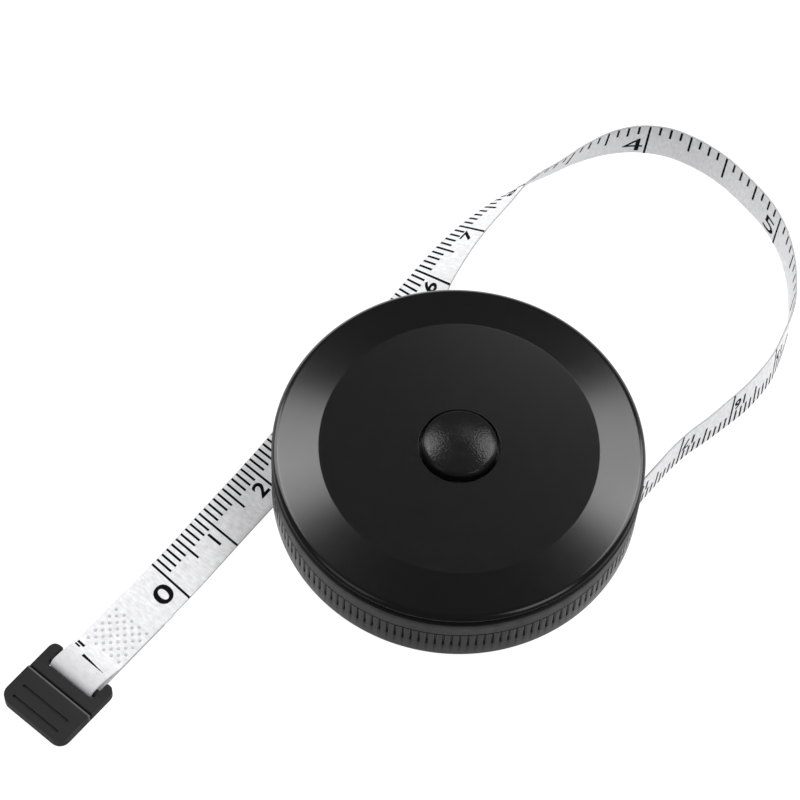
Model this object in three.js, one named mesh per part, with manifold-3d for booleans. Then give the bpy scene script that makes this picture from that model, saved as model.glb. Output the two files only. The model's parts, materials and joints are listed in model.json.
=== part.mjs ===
// A round push-button tape measure with its tape drawn out, in millimetres, +Z up.
// The origin is the centre of the flat back, on the surface that the case lies on.
import * as THREE from 'three';
import { mergeVertices } from 'three/addons/utils/BufferGeometryUtils.js';
import Module from 'manifold-3d';

const wasm = await Module();
wasm.setup();

// Case, with heights measured up from the surface that the back lies on
const CASE_RADIUS = 25.5;
const CASE_WALL = 1.8;
const BACK_WALL = 1.4;
const BACK_BEVEL_WIDTH = 9.6;
const BACK_BEVEL_RISE = 1.6;
const FLOOR_RAMP_WIDTH = 4.7;
const FLOOR_EDGE_WALL = 0.65;
const EDGE_ROUND = 0.4;
const RIM_ABOVE_TAPE = 1.5;
const RIM_BAND = 3.1;
const LOWER_BAND_TOP = 4.6;
const RIB_COUNT = 144;
const RIB_DEPTH = 0.35;

// Cover
const SPLIT_LINE = 0.2;
const COVER_HEIGHT = 2.7;
const COVER_WALL = 1.4;
const COVER_EDGE_ROUND = 0.3;
const COVER_BEVEL_WIDTH = 6.1;
const COVER_BEVEL_DROP = 1.0;
const SKIRT_WALL = 0.7;
const SKIRT_DEPTH = 1.1;
const THRUST_RIB_WIDTH = 0.8;
const BORE_CHAMFER = 0.1;
const BOSS_WALL = 1.3;
const BOSS_DEPTH = 1.2;

// Tape
const TAPE_WIDTH = 7.4;
const TAPE_THICKNESS = 0.25;
const WOUND_LENGTH = 1326;
const PACK_FLOOR_GAP = 1.0;
const PACK_CLEARANCE = 0.1;
const EXIT_DIRECTION = THREE.MathUtils.degToRad(56);
const SLOT_WIDTH = 1.3;
const SLOT_CLEARANCE = 0.35;
const LEAD_PROTRUSION = 0.5;
const TABLE_GAP = 0.05;

// Spool, mainspring and arbor
const FLANGE_CLEARANCE = 1.3;
const FLANGE_OVERHANG = 1.5;
const FLANGE_THICKNESS = 0.7;
const FLANGE_OPENING_GAP = 1.35;
const FLANGE_SPIGOT_DEPTH = 0.9;
const FLANGE_SPIGOT_WALL = 0.5;
const DRUM_WALL = 1.3;
const DRUM_WEB = 0.6;
const ANCHOR_PIN_RADIUS = 0.5;
const ANCHOR_SLIT = 0.8;
const SPRING_STRIP_THICKNESS = 0.3;
const SPRING_TURNS = 6;
const LID_THICKNESS = 0.4;
const ARBOR_RADIUS = 3.0;
const NECK_ACROSS_FLATS = 2.4;
const WASHER_THICKNESS = 0.5;
const WASHER_WIDTH = 3.8;
const SCREW_HEAD_RADIUS = 2.4;
const SCREW_HEAD_HEIGHT = 0.6;
const SCREW_SHANK_RADIUS = 0.85;
const SCREW_LENGTH = 4.4;
const SCREW_RUNOUT = 0.55;
const SCREW_SLOT_WIDTH = 0.5;
const SCREW_SLOT_DEPTH = 0.35;
const SCREW_SLOT_RIM = 0.95;

// Button and brake
const BUTTON_RADIUS = 5.1;
const BUTTON_CLEARANCE = 0.25;
const BUTTON_PROUD = 1.75;
const BUTTON_DOME_RISE = 0.65;
const BUTTON_WALL = 1.15;
const BUTTON_ROOF = 2.95;
const BUTTON_TRAVEL = 1.2;
const SLEEVE_WALL = 0.6;
const COLLAR_LIP = 0.4;
const COLLAR_THICKNESS = 0.6;
const COLLAR_SPIGOT_WALL = 0.7;
const COLLAR_SPIGOT_HEIGHT = 1.3;
const PAD_THICKNESS = 0.4;
const PAD_INSET = 1.3;
const PAD_WIDTH = 3.4;
const COIL_WIRE_RADIUS = 0.2;
const COIL_TURNS = 5;

// Pull tab and the hem that holds it
const TAB_LENGTH = 10.93;
const TAB_RAIL_WIDTH = 1.45;
const TAB_THICKNESS = 2.0;
const TAB_CORNER_RADIUS = 1.6;
const TAB_STEP = 0.3;
const TAB_GRIP_LENGTH = 5.68;
const TAB_WINDOW_START = 7.65;
const TAB_BAR_RADIUS = 0.6;
const TAB_BAR_FROM_END = 2.1;
const TAB_GROOVE_PLACES = [1.2, 3.15];
const TAB_GROOVE_WIDTH = 0.45;
const TAB_GROOVE_DEPTH = 0.2;
const TAB_SIDE_CLEARANCE = 0.4;
const TAB_DIRECTION = THREE.MathUtils.degToRad(55.7);
const TAB_BAR_PLACE = [-48.1, -34.02];
const HEM_LENGTH = 13.8;
const HEM_RAMP = 5.3;
const HEM_WEDGE_END = 4.2;
const HEM_BAR_CLEARANCE = 0.15;

// Clearances that several pieces share, and how far a cut runs past what it cuts
const RUNNING_GAP = 0.2;
const FIT_GAP = 0.2;
const JOIN_GAP = 0.3;
const THREAD_GAP = 0.15;
const CUT_OVERSHOOT = 1;

// Facets
const SHELL_SEGMENTS = 72;
const INNER_SEGMENTS = 40;
const SCREW_SEGMENTS = 20;
const PIN_SIDES = 12;
const BAR_SIDES = 16;
const ARC_STEPS = 8;
const DOME_STEPS = 6;
const COIL_SIDES = 5;
const COIL_STEPS = 10;
const SPIRAL_STEPS = 18;
const FREE_TAPE_STEPS = 84;
const MERGE_DISTANCE = 1e-4;

// The free tape's lower, ticked edge from the slot to the hem: x, y, height above
// the table, and the tape's tilt from lying flat (0) to standing on that edge (90).
const FREE_TAPE_ROUTE = [
  [25.88, 0.86, 2.4, 90],
  [27.45, 3.19, 2.4, 90],
  [29.13, 5.68, 2.4, 90],
  [31.6, 8.7, 2.4, 90],
  [33.95, 10.9, 2.4, 89],
  [36.75, 13.7, 2.4, 87],
  [39.85, 17.05, 2.4, 85],
  [42.75, 21.65, 2.4, 85],
  [44.3, 26.55, 2.4, 87],
  [45.0, 30.8, 2.4, 90],
  [45.0, 35.15, 2.4, 90],
  [44.4, 39.35, 2.4, 90],
  [42.95, 43.7, 2.4, 90],
  [40.65, 47.55, 2.35, 90],
  [37.7, 50.95, 2.1, 90],
  [34.35, 54.3, 1.75, 90],
  [30.4, 57.05, 1.3, 90],
  [26.15, 58.85, 0.9, 90],
  [21.75, 59.4, 0.5, 88],
  [17.4, 58.7, 0.2, 83.5],
  [13.0, 56.8, 0.05, 76.5],
  [8.8, 54.0, 0.05, 70.5],
  [4.5, 51.05, 0.05, 65.5],
  [0.6, 47.7, 0.05, 54],
  [-2.9, 44.0, 0.05, 46],
  [-6.1, 39.9, 0.05, 38],
  [-9.0, 35.4, 0.05, 28],
  [-11.6, 31.1, 0.05, 10],
  [-14.3, 26.6, 0.05, 2],
  [-18.9, 19.0, 0.05, 0],
  [-24.4, 9.9, 0.05, 0],
  [-29.8, 0.85, 0.05, 0],
  [-35.0, -7.4, 0.05, 0],
  [-39.5, -14.55, 0.05, 0],
  [-43.2, -20.05, 0.05, 0],
];

// Heights and radii that follow from the sizes above
const PACK_BOTTOM = BACK_WALL + PACK_FLOOR_GAP;
const PACK_TOP = PACK_BOTTOM + TAPE_WIDTH;
const RIM_TOP = PACK_TOP + RIM_ABOVE_TAPE;
const RIB_TOP = RIM_TOP - RIM_BAND;
const COVER_BOTTOM = RIM_TOP + SPLIT_LINE;
const COVER_TOP = COVER_BOTTOM + COVER_HEIGHT;
const BUTTON_CROWN = COVER_TOP + BUTTON_PROUD;
const CASE_INNER_RADIUS = CASE_RADIUS - CASE_WALL;
const EDGE_INSET_RADIUS = CASE_RADIUS - EDGE_ROUND;
const BACK_FLAT_RADIUS = EDGE_INSET_RADIUS - BACK_BEVEL_WIDTH;
const COVER_EDGE_RADIUS = CASE_RADIUS - COVER_EDGE_ROUND;
const PLATEAU_RADIUS = COVER_EDGE_RADIUS - COVER_BEVEL_WIDTH;
const FLANGE_RADIUS = CASE_INNER_RADIUS - FLANGE_CLEARANCE;
const PACK_RADIUS = FLANGE_RADIUS - FLANGE_OVERHANG;
const PACK_INNER_RADIUS = Math.sqrt(PACK_RADIUS ** 2 - WOUND_LENGTH * TAPE_THICKNESS / Math.PI);
const LEAD_DISTANCE = PACK_RADIUS + PACK_CLEARANCE + TAPE_THICKNESS / 2;
const INNER_FACET = Math.cos(Math.PI / INNER_SEGMENTS);
const DRUM_RADIUS = PACK_INNER_RADIUS - PACK_CLEARANCE;
const DRUM_BORE_RADIUS = DRUM_RADIUS - DRUM_WALL;
const DRUM_SEAT_RADIUS = DRUM_BORE_RADIUS * INNER_FACET - FIT_GAP;
const FLANGE_BOTTOM = PACK_TOP + JOIN_GAP;
const FLANGE_TOP = FLANGE_BOTTOM + FLANGE_THICKNESS;
const FLANGE_OPENING_RADIUS = BUTTON_RADIUS + FLANGE_OPENING_GAP;
const DRUM_TOP = FLANGE_BOTTOM - FIT_GAP;
const PAD_TOP = FLANGE_BOTTOM - RUNNING_GAP;
const PAD_BOTTOM = PAD_TOP - PAD_THICKNESS;
const PAD_INNER_RADIUS = FLANGE_OPENING_RADIUS + PAD_INSET;
const PAD_OUTER_RADIUS = PAD_INNER_RADIUS + PAD_WIDTH;
const COLLAR_TOP = PAD_BOTTOM - FIT_GAP;
const COLLAR_BOTTOM = COLLAR_TOP - COLLAR_THICKNESS;
const COLLAR_RADIUS = PAD_OUTER_RADIUS + COLLAR_LIP;
const WASHER_BOTTOM = BACK_WALL + RUNNING_GAP;
const WASHER_TOP = WASHER_BOTTOM + WASHER_THICKNESS;
const WEB_BOTTOM = WASHER_TOP + RUNNING_GAP;
const WEB_TOP = WEB_BOTTOM + DRUM_WEB;
const LID_TOP = COLLAR_BOTTOM - BUTTON_TRAVEL - JOIN_GAP;
const LID_BOTTOM = LID_TOP - LID_THICKNESS;
const SPRING_BOTTOM = WEB_TOP + RUNNING_GAP;
const SPRING_TOP = LID_BOTTOM - RUNNING_GAP;
const BUTTON_BOTTOM = COLLAR_TOP + FIT_GAP;
const BUTTON_CEILING = BUTTON_CROWN - BUTTON_ROOF;
const BUTTON_BORE_RADIUS = BUTTON_RADIUS - BUTTON_WALL;
const ARBOR_BOTTOM = BACK_WALL + FIT_GAP;
const ARBOR_SHOULDER = LID_TOP + FIT_GAP;
const ARBOR_BORE_RADIUS = SCREW_SHANK_RADIUS + THREAD_GAP;
const SPOOL_BORE_RADIUS = ARBOR_RADIUS + JOIN_GAP;
const NECK_TOP = BUTTON_CEILING - BUTTON_TRAVEL - JOIN_GAP;
const NECK_RADIUS = NECK_ACROSS_FLATS / Math.sqrt(3);
const SLEEVE_BORE_RADIUS = (NECK_ACROSS_FLATS / 2 + FIT_GAP) * 2 / Math.sqrt(3);
const SLEEVE_RADIUS = SLEEVE_BORE_RADIUS + SLEEVE_WALL;
const SLEEVE_BOTTOM = ARBOR_SHOULDER + BUTTON_TRAVEL + JOIN_GAP;
const SCREW_BOTTOM = TABLE_GAP;
const SCREW_RECESS_RADIUS = SCREW_HEAD_RADIUS + FIT_GAP;
const SCREW_RECESS_DEPTH = SCREW_HEAD_HEIGHT + FIT_GAP;
const TAB_WIDTH = TAPE_WIDTH + 2 * (TAB_SIDE_CLEARANCE + TAB_RAIL_WIDTH);
const TAB_BOTTOM = TABLE_GAP;
const TAB_TOP = TAB_BOTTOM + TAB_THICKNESS;
const TAB_BAR_HEIGHT = TAB_BOTTOM + TAB_THICKNESS / 2;

// Materials, with the photo's colours
const plastic = (color, roughness) => new THREE.MeshStandardMaterial({ color, roughness, metalness: 0 });
const metal = (color, roughness) => new THREE.MeshStandardMaterial({ color, roughness, metalness: 1 });
const GLOSS_BLACK = plastic(0x1d1d1f, 0.18);
const SATIN_BLACK = plastic(0x2b2b2d, 0.45);
const WHITE_TAPE = plastic(0xeeefed, 0.6);
const GREY_NYLON = plastic(0xb9bab6, 0.5);
const RUBBER = plastic(0x26211f, 0.8);
const SPRING_STEEL = metal(0x8f959b, 0.3);
const ZINC_STEEL = metal(0xa9adb0, 0.35);

// A geometry with shared vertices, no collapsed triangles and its faces pointing out
function closed(geometry) {
  const bare = geometry.index ? geometry.toNonIndexed() : geometry.clone();
  bare.deleteAttribute('normal');
  bare.deleteAttribute('uv');
  const merged = mergeVertices(bare, MERGE_DISTANCE);
  const place = merged.getAttribute('position');
  const [a, b, c] = [new THREE.Vector3(), new THREE.Vector3(), new THREE.Vector3()];
  const faces = [];
  let volume = 0;
  for (let i = 0; i < merged.index.count; i += 3) {
    const corner = [merged.index.getX(i), merged.index.getX(i + 1), merged.index.getX(i + 2)];
    if (new Set(corner).size < 3) continue;
    a.fromBufferAttribute(place, corner[0]);
    b.fromBufferAttribute(place, corner[1]);
    c.fromBufferAttribute(place, corner[2]);
    volume += a.dot(b.cross(c));
    faces.push(corner);
  }
  merged.setIndex(faces.flatMap((corner) => (volume < 0 ? [corner[0], corner[2], corner[1]] : corner)));
  return merged;
}

function toSolid(geometry) {
  const shape = closed(geometry);
  const vertProperties = new Float32Array(shape.getAttribute('position').array);
  const triVerts = new Uint32Array(shape.index.array);
  return new wasm.Manifold(new wasm.Mesh({ numProp: 3, vertProperties, triVerts }));
}

function toGeometry(solid) {
  const mesh = solid.getMesh();
  const geometry = new THREE.BufferGeometry();
  geometry.setAttribute('position', new THREE.BufferAttribute(new Float32Array(mesh.vertProperties), 3));
  geometry.setIndex(Array.from(mesh.triVerts));
  return geometry;
}

// A turned piece from (radius, height) points
function turned(points, segments) {
  const profile = points.map(([radius, height]) => new THREE.Vector2(radius, height));
  if (points[0][0] > 0) profile.push(profile[0].clone());
  return new THREE.LatheGeometry(profile, segments).rotateX(Math.PI / 2);
}

// A turned ring of rectangular section
function ring(inner, outer, bottom, top, segments) {
  return turned([[inner, bottom], [outer, bottom], [outer, top], [inner, top]], segments);
}

// An upright prism from an outline
function prism(shape, bottom, top) {
  const geometry = new THREE.ExtrudeGeometry(shape, { depth: top - bottom, bevelEnabled: false });
  return geometry.translate(0, 0, bottom);
}

function polygon(points) {
  return new THREE.Shape(points.map(([x, y]) => new THREE.Vector2(x, y)));
}

function hexagon(radius) {
  const corners = [0, 1, 2, 3, 4, 5].map((i) => i * Math.PI / 3);
  return polygon(corners.map((angle) => [radius * Math.cos(angle), radius * Math.sin(angle)]));
}

function box(low, high) {
  const size = high.map((value, i) => value - low[i]);
  const middle = high.map((value, i) => (value + low[i]) / 2);
  return new THREE.BoxGeometry(...size).translate(...middle);
}

// A closed solid through rings of equal count, each a convex section
function loft(rings) {
  const count = rings[0].length;
  const positions = rings.flat().flatMap((point) => [point.x, point.y, point.z]);
  const index = [];
  for (let i = 0; i + 1 < rings.length; i += 1) {
    for (let j = 0; j < count; j += 1) {
      const [a, b] = [i * count + j, i * count + (j + 1) % count];
      index.push(a, b, b + count, a, b + count, a + count);
    }
  }
  const last = (rings.length - 1) * count;
  for (let j = 1; j + 1 < count; j += 1) {
    index.push(0, j + 1, j, last, last + j, last + j + 1);
  }
  const geometry = new THREE.BufferGeometry();
  geometry.setAttribute('position', new THREE.Float32BufferAttribute(positions, 3));
  geometry.setIndex(index);
  return geometry;
}

const group = new THREE.Group();

function add(name, geometry, material, parent = group) {
  const mesh = new THREE.Mesh(closed(geometry), material);
  mesh.name = name;
  parent.add(mesh);
  return mesh;
}

// The line that the tape leaves the wound pack on, and a point along it from the pack
const leadAlong = new THREE.Vector2(Math.cos(EXIT_DIRECTION), Math.sin(EXIT_DIRECTION));
const leadStart = new THREE.Vector2(leadAlong.y, -leadAlong.x).multiplyScalar(LEAD_DISTANCE);
const leadAt = (distance) => leadStart.clone().addScaledVector(leadAlong, distance);
const leadReach = (radius) => Math.sqrt(radius ** 2 - LEAD_DISTANCE ** 2);

// A box that lies along the lead, from one distance to another
function leadBox(from, to, thickness, bottom, top) {
  const middle = leadAt((from + to) / 2);
  const block = new THREE.BoxGeometry(to - from, thickness, top - bottom);
  return block.rotateZ(EXIT_DIRECTION).translate(middle.x, middle.y, (bottom + top) / 2);
}

function rearCase() {
  const bevelSlope = BACK_BEVEL_RISE / BACK_BEVEL_WIDTH;
  const floorRise = FLOOR_EDGE_WALL + bevelSlope * (CASE_INNER_RADIUS - BACK_FLAT_RADIUS);
  const grooveRadius = CASE_RADIUS - RIB_DEPTH;
  const holeRadius = SCREW_SHANK_RADIUS + FIT_GAP;
  const shell = turned([
    [SCREW_RECESS_RADIUS, 0],
    [BACK_FLAT_RADIUS, 0],
    [EDGE_INSET_RADIUS, BACK_BEVEL_RISE],
    [CASE_RADIUS, BACK_BEVEL_RISE + EDGE_ROUND],
    [CASE_RADIUS, LOWER_BAND_TOP],
    [grooveRadius, LOWER_BAND_TOP],
    [grooveRadius, RIB_TOP],
    [CASE_RADIUS, RIB_TOP],
    [CASE_RADIUS, RIM_TOP],
    [CASE_INNER_RADIUS, RIM_TOP],
    [CASE_INNER_RADIUS, floorRise],
    [CASE_INNER_RADIUS - FLOOR_RAMP_WIDTH, BACK_WALL],
    [holeRadius, BACK_WALL],
    [holeRadius, SCREW_RECESS_DEPTH],
    [SCREW_RECESS_RADIUS, SCREW_RECESS_DEPTH],
  ], SHELL_SEGMENTS);
  const ribStep = 2 * Math.PI / RIB_COUNT;
  const ribs = [];
  for (let i = 0; i < RIB_COUNT; i += 1) {
    const crest = i * ribStep;
    const valley = crest + ribStep / 2;
    ribs.push([CASE_RADIUS * Math.cos(crest), CASE_RADIUS * Math.sin(crest)]);
    ribs.push([grooveRadius * Math.cos(valley), grooveRadius * Math.sin(valley)]);
  }
  const band = polygon(ribs);
  band.holes.push(new THREE.Path().absarc(0, 0, CASE_RADIUS - CASE_WALL / 2, 0, 2 * Math.PI, true));
  const grip = new THREE.ExtrudeGeometry(band, {
    depth: RIB_TOP - LOWER_BAND_TOP,
    bevelEnabled: false,
    curveSegments: SHELL_SEGMENTS / 2,
  }).translate(0, 0, LOWER_BAND_TOP);
  const slot = leadBox(
    leadReach(CASE_INNER_RADIUS) - CASE_WALL,
    leadReach(CASE_RADIUS) + CASE_WALL,
    SLOT_WIDTH,
    PACK_BOTTOM - SLOT_CLEARANCE,
    PACK_TOP + SLOT_CLEARANCE,
  );
  return toGeometry(toSolid(shell).add(toSolid(grip)).subtract(toSolid(slot)));
}

function frontCover() {
  const bevelHeight = COVER_TOP - COVER_BEVEL_DROP;
  const ceiling = COVER_TOP - COVER_WALL;
  const skirtRadius = CASE_INNER_RADIUS - FIT_GAP;
  const skirtInner = skirtRadius - SKIRT_WALL;
  const bevelSlope = COVER_BEVEL_DROP / COVER_BEVEL_WIDTH;
  const ceilingAt = (radius) => ceiling - bevelSlope * Math.max(0, radius - PLATEAU_RADIUS);
  const ribOuter = PACK_RADIUS;
  const ribInner = ribOuter - THRUST_RIB_WIDTH;
  const ribBottom = FLANGE_TOP + JOIN_GAP;
  const boreRadius = BUTTON_RADIUS + BUTTON_CLEARANCE;
  const bossRadius = boreRadius + BOSS_WALL;
  return turned([
    [boreRadius, ceiling - BOSS_DEPTH],
    [boreRadius, COVER_TOP - BORE_CHAMFER],
    [boreRadius + BORE_CHAMFER, COVER_TOP],
    [PLATEAU_RADIUS, COVER_TOP],
    [COVER_EDGE_RADIUS, bevelHeight],
    [CASE_RADIUS, bevelHeight - COVER_EDGE_ROUND],
    [CASE_RADIUS, COVER_BOTTOM],
    [skirtRadius, COVER_BOTTOM],
    [skirtRadius, RIM_TOP - SKIRT_DEPTH],
    [skirtInner, RIM_TOP - SKIRT_DEPTH],
    [skirtInner, ceilingAt(skirtInner)],
    [ribOuter, ceilingAt(ribOuter)],
    [ribOuter, ribBottom],
    [ribInner, ribBottom],
    [ribInner, ceilingAt(ribInner)],
    [PLATEAU_RADIUS, ceiling],
    [bossRadius, ceiling],
    [bossRadius, ceiling - BOSS_DEPTH],
  ], SHELL_SEGMENTS);
}

// The domed button, hollow below, with a six-sided sleeve that slides on the arbor's neck
function pushButton() {
  const shoulder = BUTTON_CROWN - BUTTON_DOME_RISE;
  const domeRadius = (BUTTON_RADIUS ** 2 + BUTTON_DOME_RISE ** 2) / (2 * BUTTON_DOME_RISE);
  const domeAngle = Math.asin(BUTTON_RADIUS / domeRadius);
  const profile = [[0, BUTTON_CROWN]];
  for (let i = 1; i <= DOME_STEPS; i += 1) {
    const angle = domeAngle * i / DOME_STEPS;
    const drop = domeRadius * (1 - Math.cos(angle));
    profile.push([domeRadius * Math.sin(angle), BUTTON_CROWN - drop]);
  }
  profile[DOME_STEPS] = [BUTTON_RADIUS, shoulder];
  profile.push(
    [BUTTON_RADIUS, BUTTON_BOTTOM],
    [BUTTON_BORE_RADIUS, BUTTON_BOTTOM],
    [BUTTON_BORE_RADIUS, BUTTON_CEILING],
    [SLEEVE_RADIUS, BUTTON_CEILING],
    [SLEEVE_RADIUS, SLEEVE_BOTTOM],
    [0, SLEEVE_BOTTOM],
  );
  const socket = prism(hexagon(SLEEVE_BORE_RADIUS), SLEEVE_BOTTOM - CUT_OVERSHOOT, BUTTON_CEILING);
  return toGeometry(toSolid(turned(profile, INNER_SEGMENTS)).subtract(toSolid(socket)));
}

function brakeCollar() {
  const spigotRadius = BUTTON_BORE_RADIUS - FIT_GAP;
  const boreRadius = spigotRadius - COLLAR_SPIGOT_WALL;
  return turned([
    [boreRadius, COLLAR_BOTTOM],
    [COLLAR_RADIUS, COLLAR_BOTTOM],
    [COLLAR_RADIUS, COLLAR_TOP],
    [spigotRadius, COLLAR_TOP],
    [spigotRadius, COLLAR_TOP + COLLAR_SPIGOT_HEIGHT],
    [boreRadius, COLLAR_TOP + COLLAR_SPIGOT_HEIGHT],
  ], INNER_SEGMENTS);
}

// A coil of round wire between the arbor's shoulder and the button's ceiling
function buttonSpring() {
  const radius = SLEEVE_RADIUS + FIT_GAP + COIL_WIRE_RADIUS;
  const low = ARBOR_SHOULDER + FIT_GAP + COIL_WIRE_RADIUS;
  const high = BUTTON_CEILING - FIT_GAP - COIL_WIRE_RADIUS;
  const steps = COIL_TURNS * COIL_STEPS;
  const rings = [];
  for (let i = 0; i <= steps; i += 1) {
    const turn = 2 * Math.PI * i / COIL_STEPS;
    const height = low + (high - low) * i / steps;
    const section = [];
    for (let j = 0; j < COIL_SIDES; j += 1) {
      const around = 2 * Math.PI * j / COIL_SIDES;
      const out = radius + COIL_WIRE_RADIUS * Math.cos(around);
      const up = height + COIL_WIRE_RADIUS * Math.sin(around);
      section.push(new THREE.Vector3(out * Math.cos(turn), out * Math.sin(turn), up));
    }
    rings.push(section);
  }
  return loft(rings);
}

function arbor() {
  const boreTop = SCREW_BOTTOM + SCREW_LENGTH + SCREW_RUNOUT;
  const post = turned([
    [0, boreTop],
    [ARBOR_BORE_RADIUS, boreTop],
    [ARBOR_BORE_RADIUS, ARBOR_BOTTOM],
    [ARBOR_RADIUS, ARBOR_BOTTOM],
    [ARBOR_RADIUS, ARBOR_SHOULDER],
    [0, ARBOR_SHOULDER],
  ], INNER_SEGMENTS);
  const neck = prism(hexagon(NECK_RADIUS), ARBOR_SHOULDER - CUT_OVERSHOOT, NECK_TOP);
  return toGeometry(toSolid(post).add(toSolid(neck)));
}

// The head sits in the back's recess, under the surface
function arborScrew() {
  const headTop = SCREW_BOTTOM + SCREW_HEAD_HEIGHT;
  const tip = SCREW_BOTTOM + SCREW_LENGTH;
  const screw = toSolid(turned([
    [0, SCREW_BOTTOM],
    [SCREW_HEAD_RADIUS, SCREW_BOTTOM],
    [SCREW_HEAD_RADIUS, headTop],
    [SCREW_SHANK_RADIUS, headTop],
    [SCREW_SHANK_RADIUS, tip],
    [0, tip],
  ], SCREW_SEGMENTS));
  const reach = SCREW_HEAD_RADIUS - SCREW_SLOT_RIM;
  const half = SCREW_SLOT_WIDTH / 2;
  const slotTop = SCREW_BOTTOM + SCREW_SLOT_DEPTH;
  const across = toSolid(box([-reach, -half, -CUT_OVERSHOOT], [reach, half, slotTop]));
  const along = toSolid(box([-half, -reach, -CUT_OVERSHOOT], [half, reach, slotTop]));
  return toGeometry(screw.subtract(across).subtract(along));
}

// The drum, with a slit for the tape's inner end beside the anchor pin
function spoolDrum() {
  const drum = turned([
    [SPOOL_BORE_RADIUS, WEB_BOTTOM],
    [DRUM_RADIUS, WEB_BOTTOM],
    [DRUM_RADIUS, DRUM_TOP],
    [DRUM_BORE_RADIUS, DRUM_TOP],
    [DRUM_BORE_RADIUS, WEB_TOP],
    [SPOOL_BORE_RADIUS, WEB_TOP],
  ], INNER_SEGMENTS);
  const slit = box(
    [-DRUM_RADIUS - CUT_OVERSHOOT, -ANCHOR_SLIT / 2, LID_TOP + FIT_GAP],
    [-DRUM_BORE_RADIUS + CUT_OVERSHOOT, ANCHOR_SLIT / 2, DRUM_TOP + CUT_OVERSHOOT],
  );
  return toGeometry(toSolid(drum).subtract(toSolid(slit)));
}

function anchorPin() {
  const bottom = LID_TOP + FIT_GAP;
  const top = FLANGE_BOTTOM - FLANGE_SPIGOT_DEPTH - FIT_GAP;
  const place = DRUM_SEAT_RADIUS - ANCHOR_PIN_RADIUS;
  const pin = new THREE.CylinderGeometry(ANCHOR_PIN_RADIUS, ANCHOR_PIN_RADIUS, top - bottom, PIN_SIDES);
  return pin.rotateX(Math.PI / 2).translate(-place, 0, (bottom + top) / 2);
}

function spoolFlange() {
  const spigotInner = DRUM_SEAT_RADIUS - FLANGE_SPIGOT_WALL;
  return turned([
    [FLANGE_OPENING_RADIUS, FLANGE_BOTTOM],
    [spigotInner, FLANGE_BOTTOM],
    [spigotInner, FLANGE_BOTTOM - FLANGE_SPIGOT_DEPTH],
    [DRUM_SEAT_RADIUS, FLANGE_BOTTOM - FLANGE_SPIGOT_DEPTH],
    [DRUM_SEAT_RADIUS, FLANGE_BOTTOM],
    [FLANGE_RADIUS, FLANGE_BOTTOM],
    [FLANGE_RADIUS, FLANGE_TOP],
    [FLANGE_OPENING_RADIUS, FLANGE_TOP],
  ], INNER_SEGMENTS);
}

// The spiral strip between the arbor and the drum
function mainspring() {
  const inner = ARBOR_RADIUS + FIT_GAP;
  const outer = DRUM_SEAT_RADIUS - SPRING_STRIP_THICKNESS;
  const steps = SPRING_TURNS * SPIRAL_STEPS;
  const rings = [];
  for (let i = 0; i <= steps; i += 1) {
    const turn = 2 * Math.PI * i / SPIRAL_STEPS;
    const near = inner + (outer - inner) * i / steps;
    const far = near + SPRING_STRIP_THICKNESS;
    const [x, y] = [Math.cos(turn), Math.sin(turn)];
    rings.push([
      new THREE.Vector3(near * x, near * y, SPRING_BOTTOM),
      new THREE.Vector3(far * x, far * y, SPRING_BOTTOM),
      new THREE.Vector3(far * x, far * y, SPRING_TOP),
      new THREE.Vector3(near * x, near * y, SPRING_TOP),
    ]);
  }
  return loft(rings);
}

// The tape outside the case, as a flat strip that stands on edge and turns to lie flat
function freeTape() {
  const places = FREE_TAPE_ROUTE.map(([x, y, z]) => new THREE.Vector3(x, y, z));
  const edge = new THREE.CatmullRomCurve3(places, false, 'centripetal');
  const legs = FREE_TAPE_ROUTE.length - 1;
  const tiltAt = (t) => {
    const leg = Math.min(Math.floor(t * legs), legs - 1);
    const [from, to] = [FREE_TAPE_ROUTE[leg][3], FREE_TAPE_ROUTE[leg + 1][3]];
    return THREE.MathUtils.degToRad(THREE.MathUtils.lerp(from, to, t * legs - leg));
  };
  const rings = [];
  for (let i = 0; i <= FREE_TAPE_STEPS; i += 1) {
    const t = i / FREE_TAPE_STEPS;
    const lower = edge.getPoint(t);
    const along = edge.getTangent(t).setZ(0).normalize();
    const tilt = tiltAt(t);
    const inward = new THREE.Vector3(-along.y, along.x, 0);
    const across = inward.clone().multiplyScalar(Math.cos(tilt)).setZ(Math.sin(tilt));
    const face = new THREE.Vector3().crossVectors(along, across);
    const corner = (width, thickness) => lower.clone()
      .addScaledVector(across, width)
      .addScaledVector(face, thickness);
    rings.push([
      corner(0, 0),
      corner(TAPE_WIDTH, 0),
      corner(TAPE_WIDTH, TAPE_THICKNESS),
      corner(0, TAPE_THICKNESS),
    ]);
  }
  return loft(rings);
}

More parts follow.
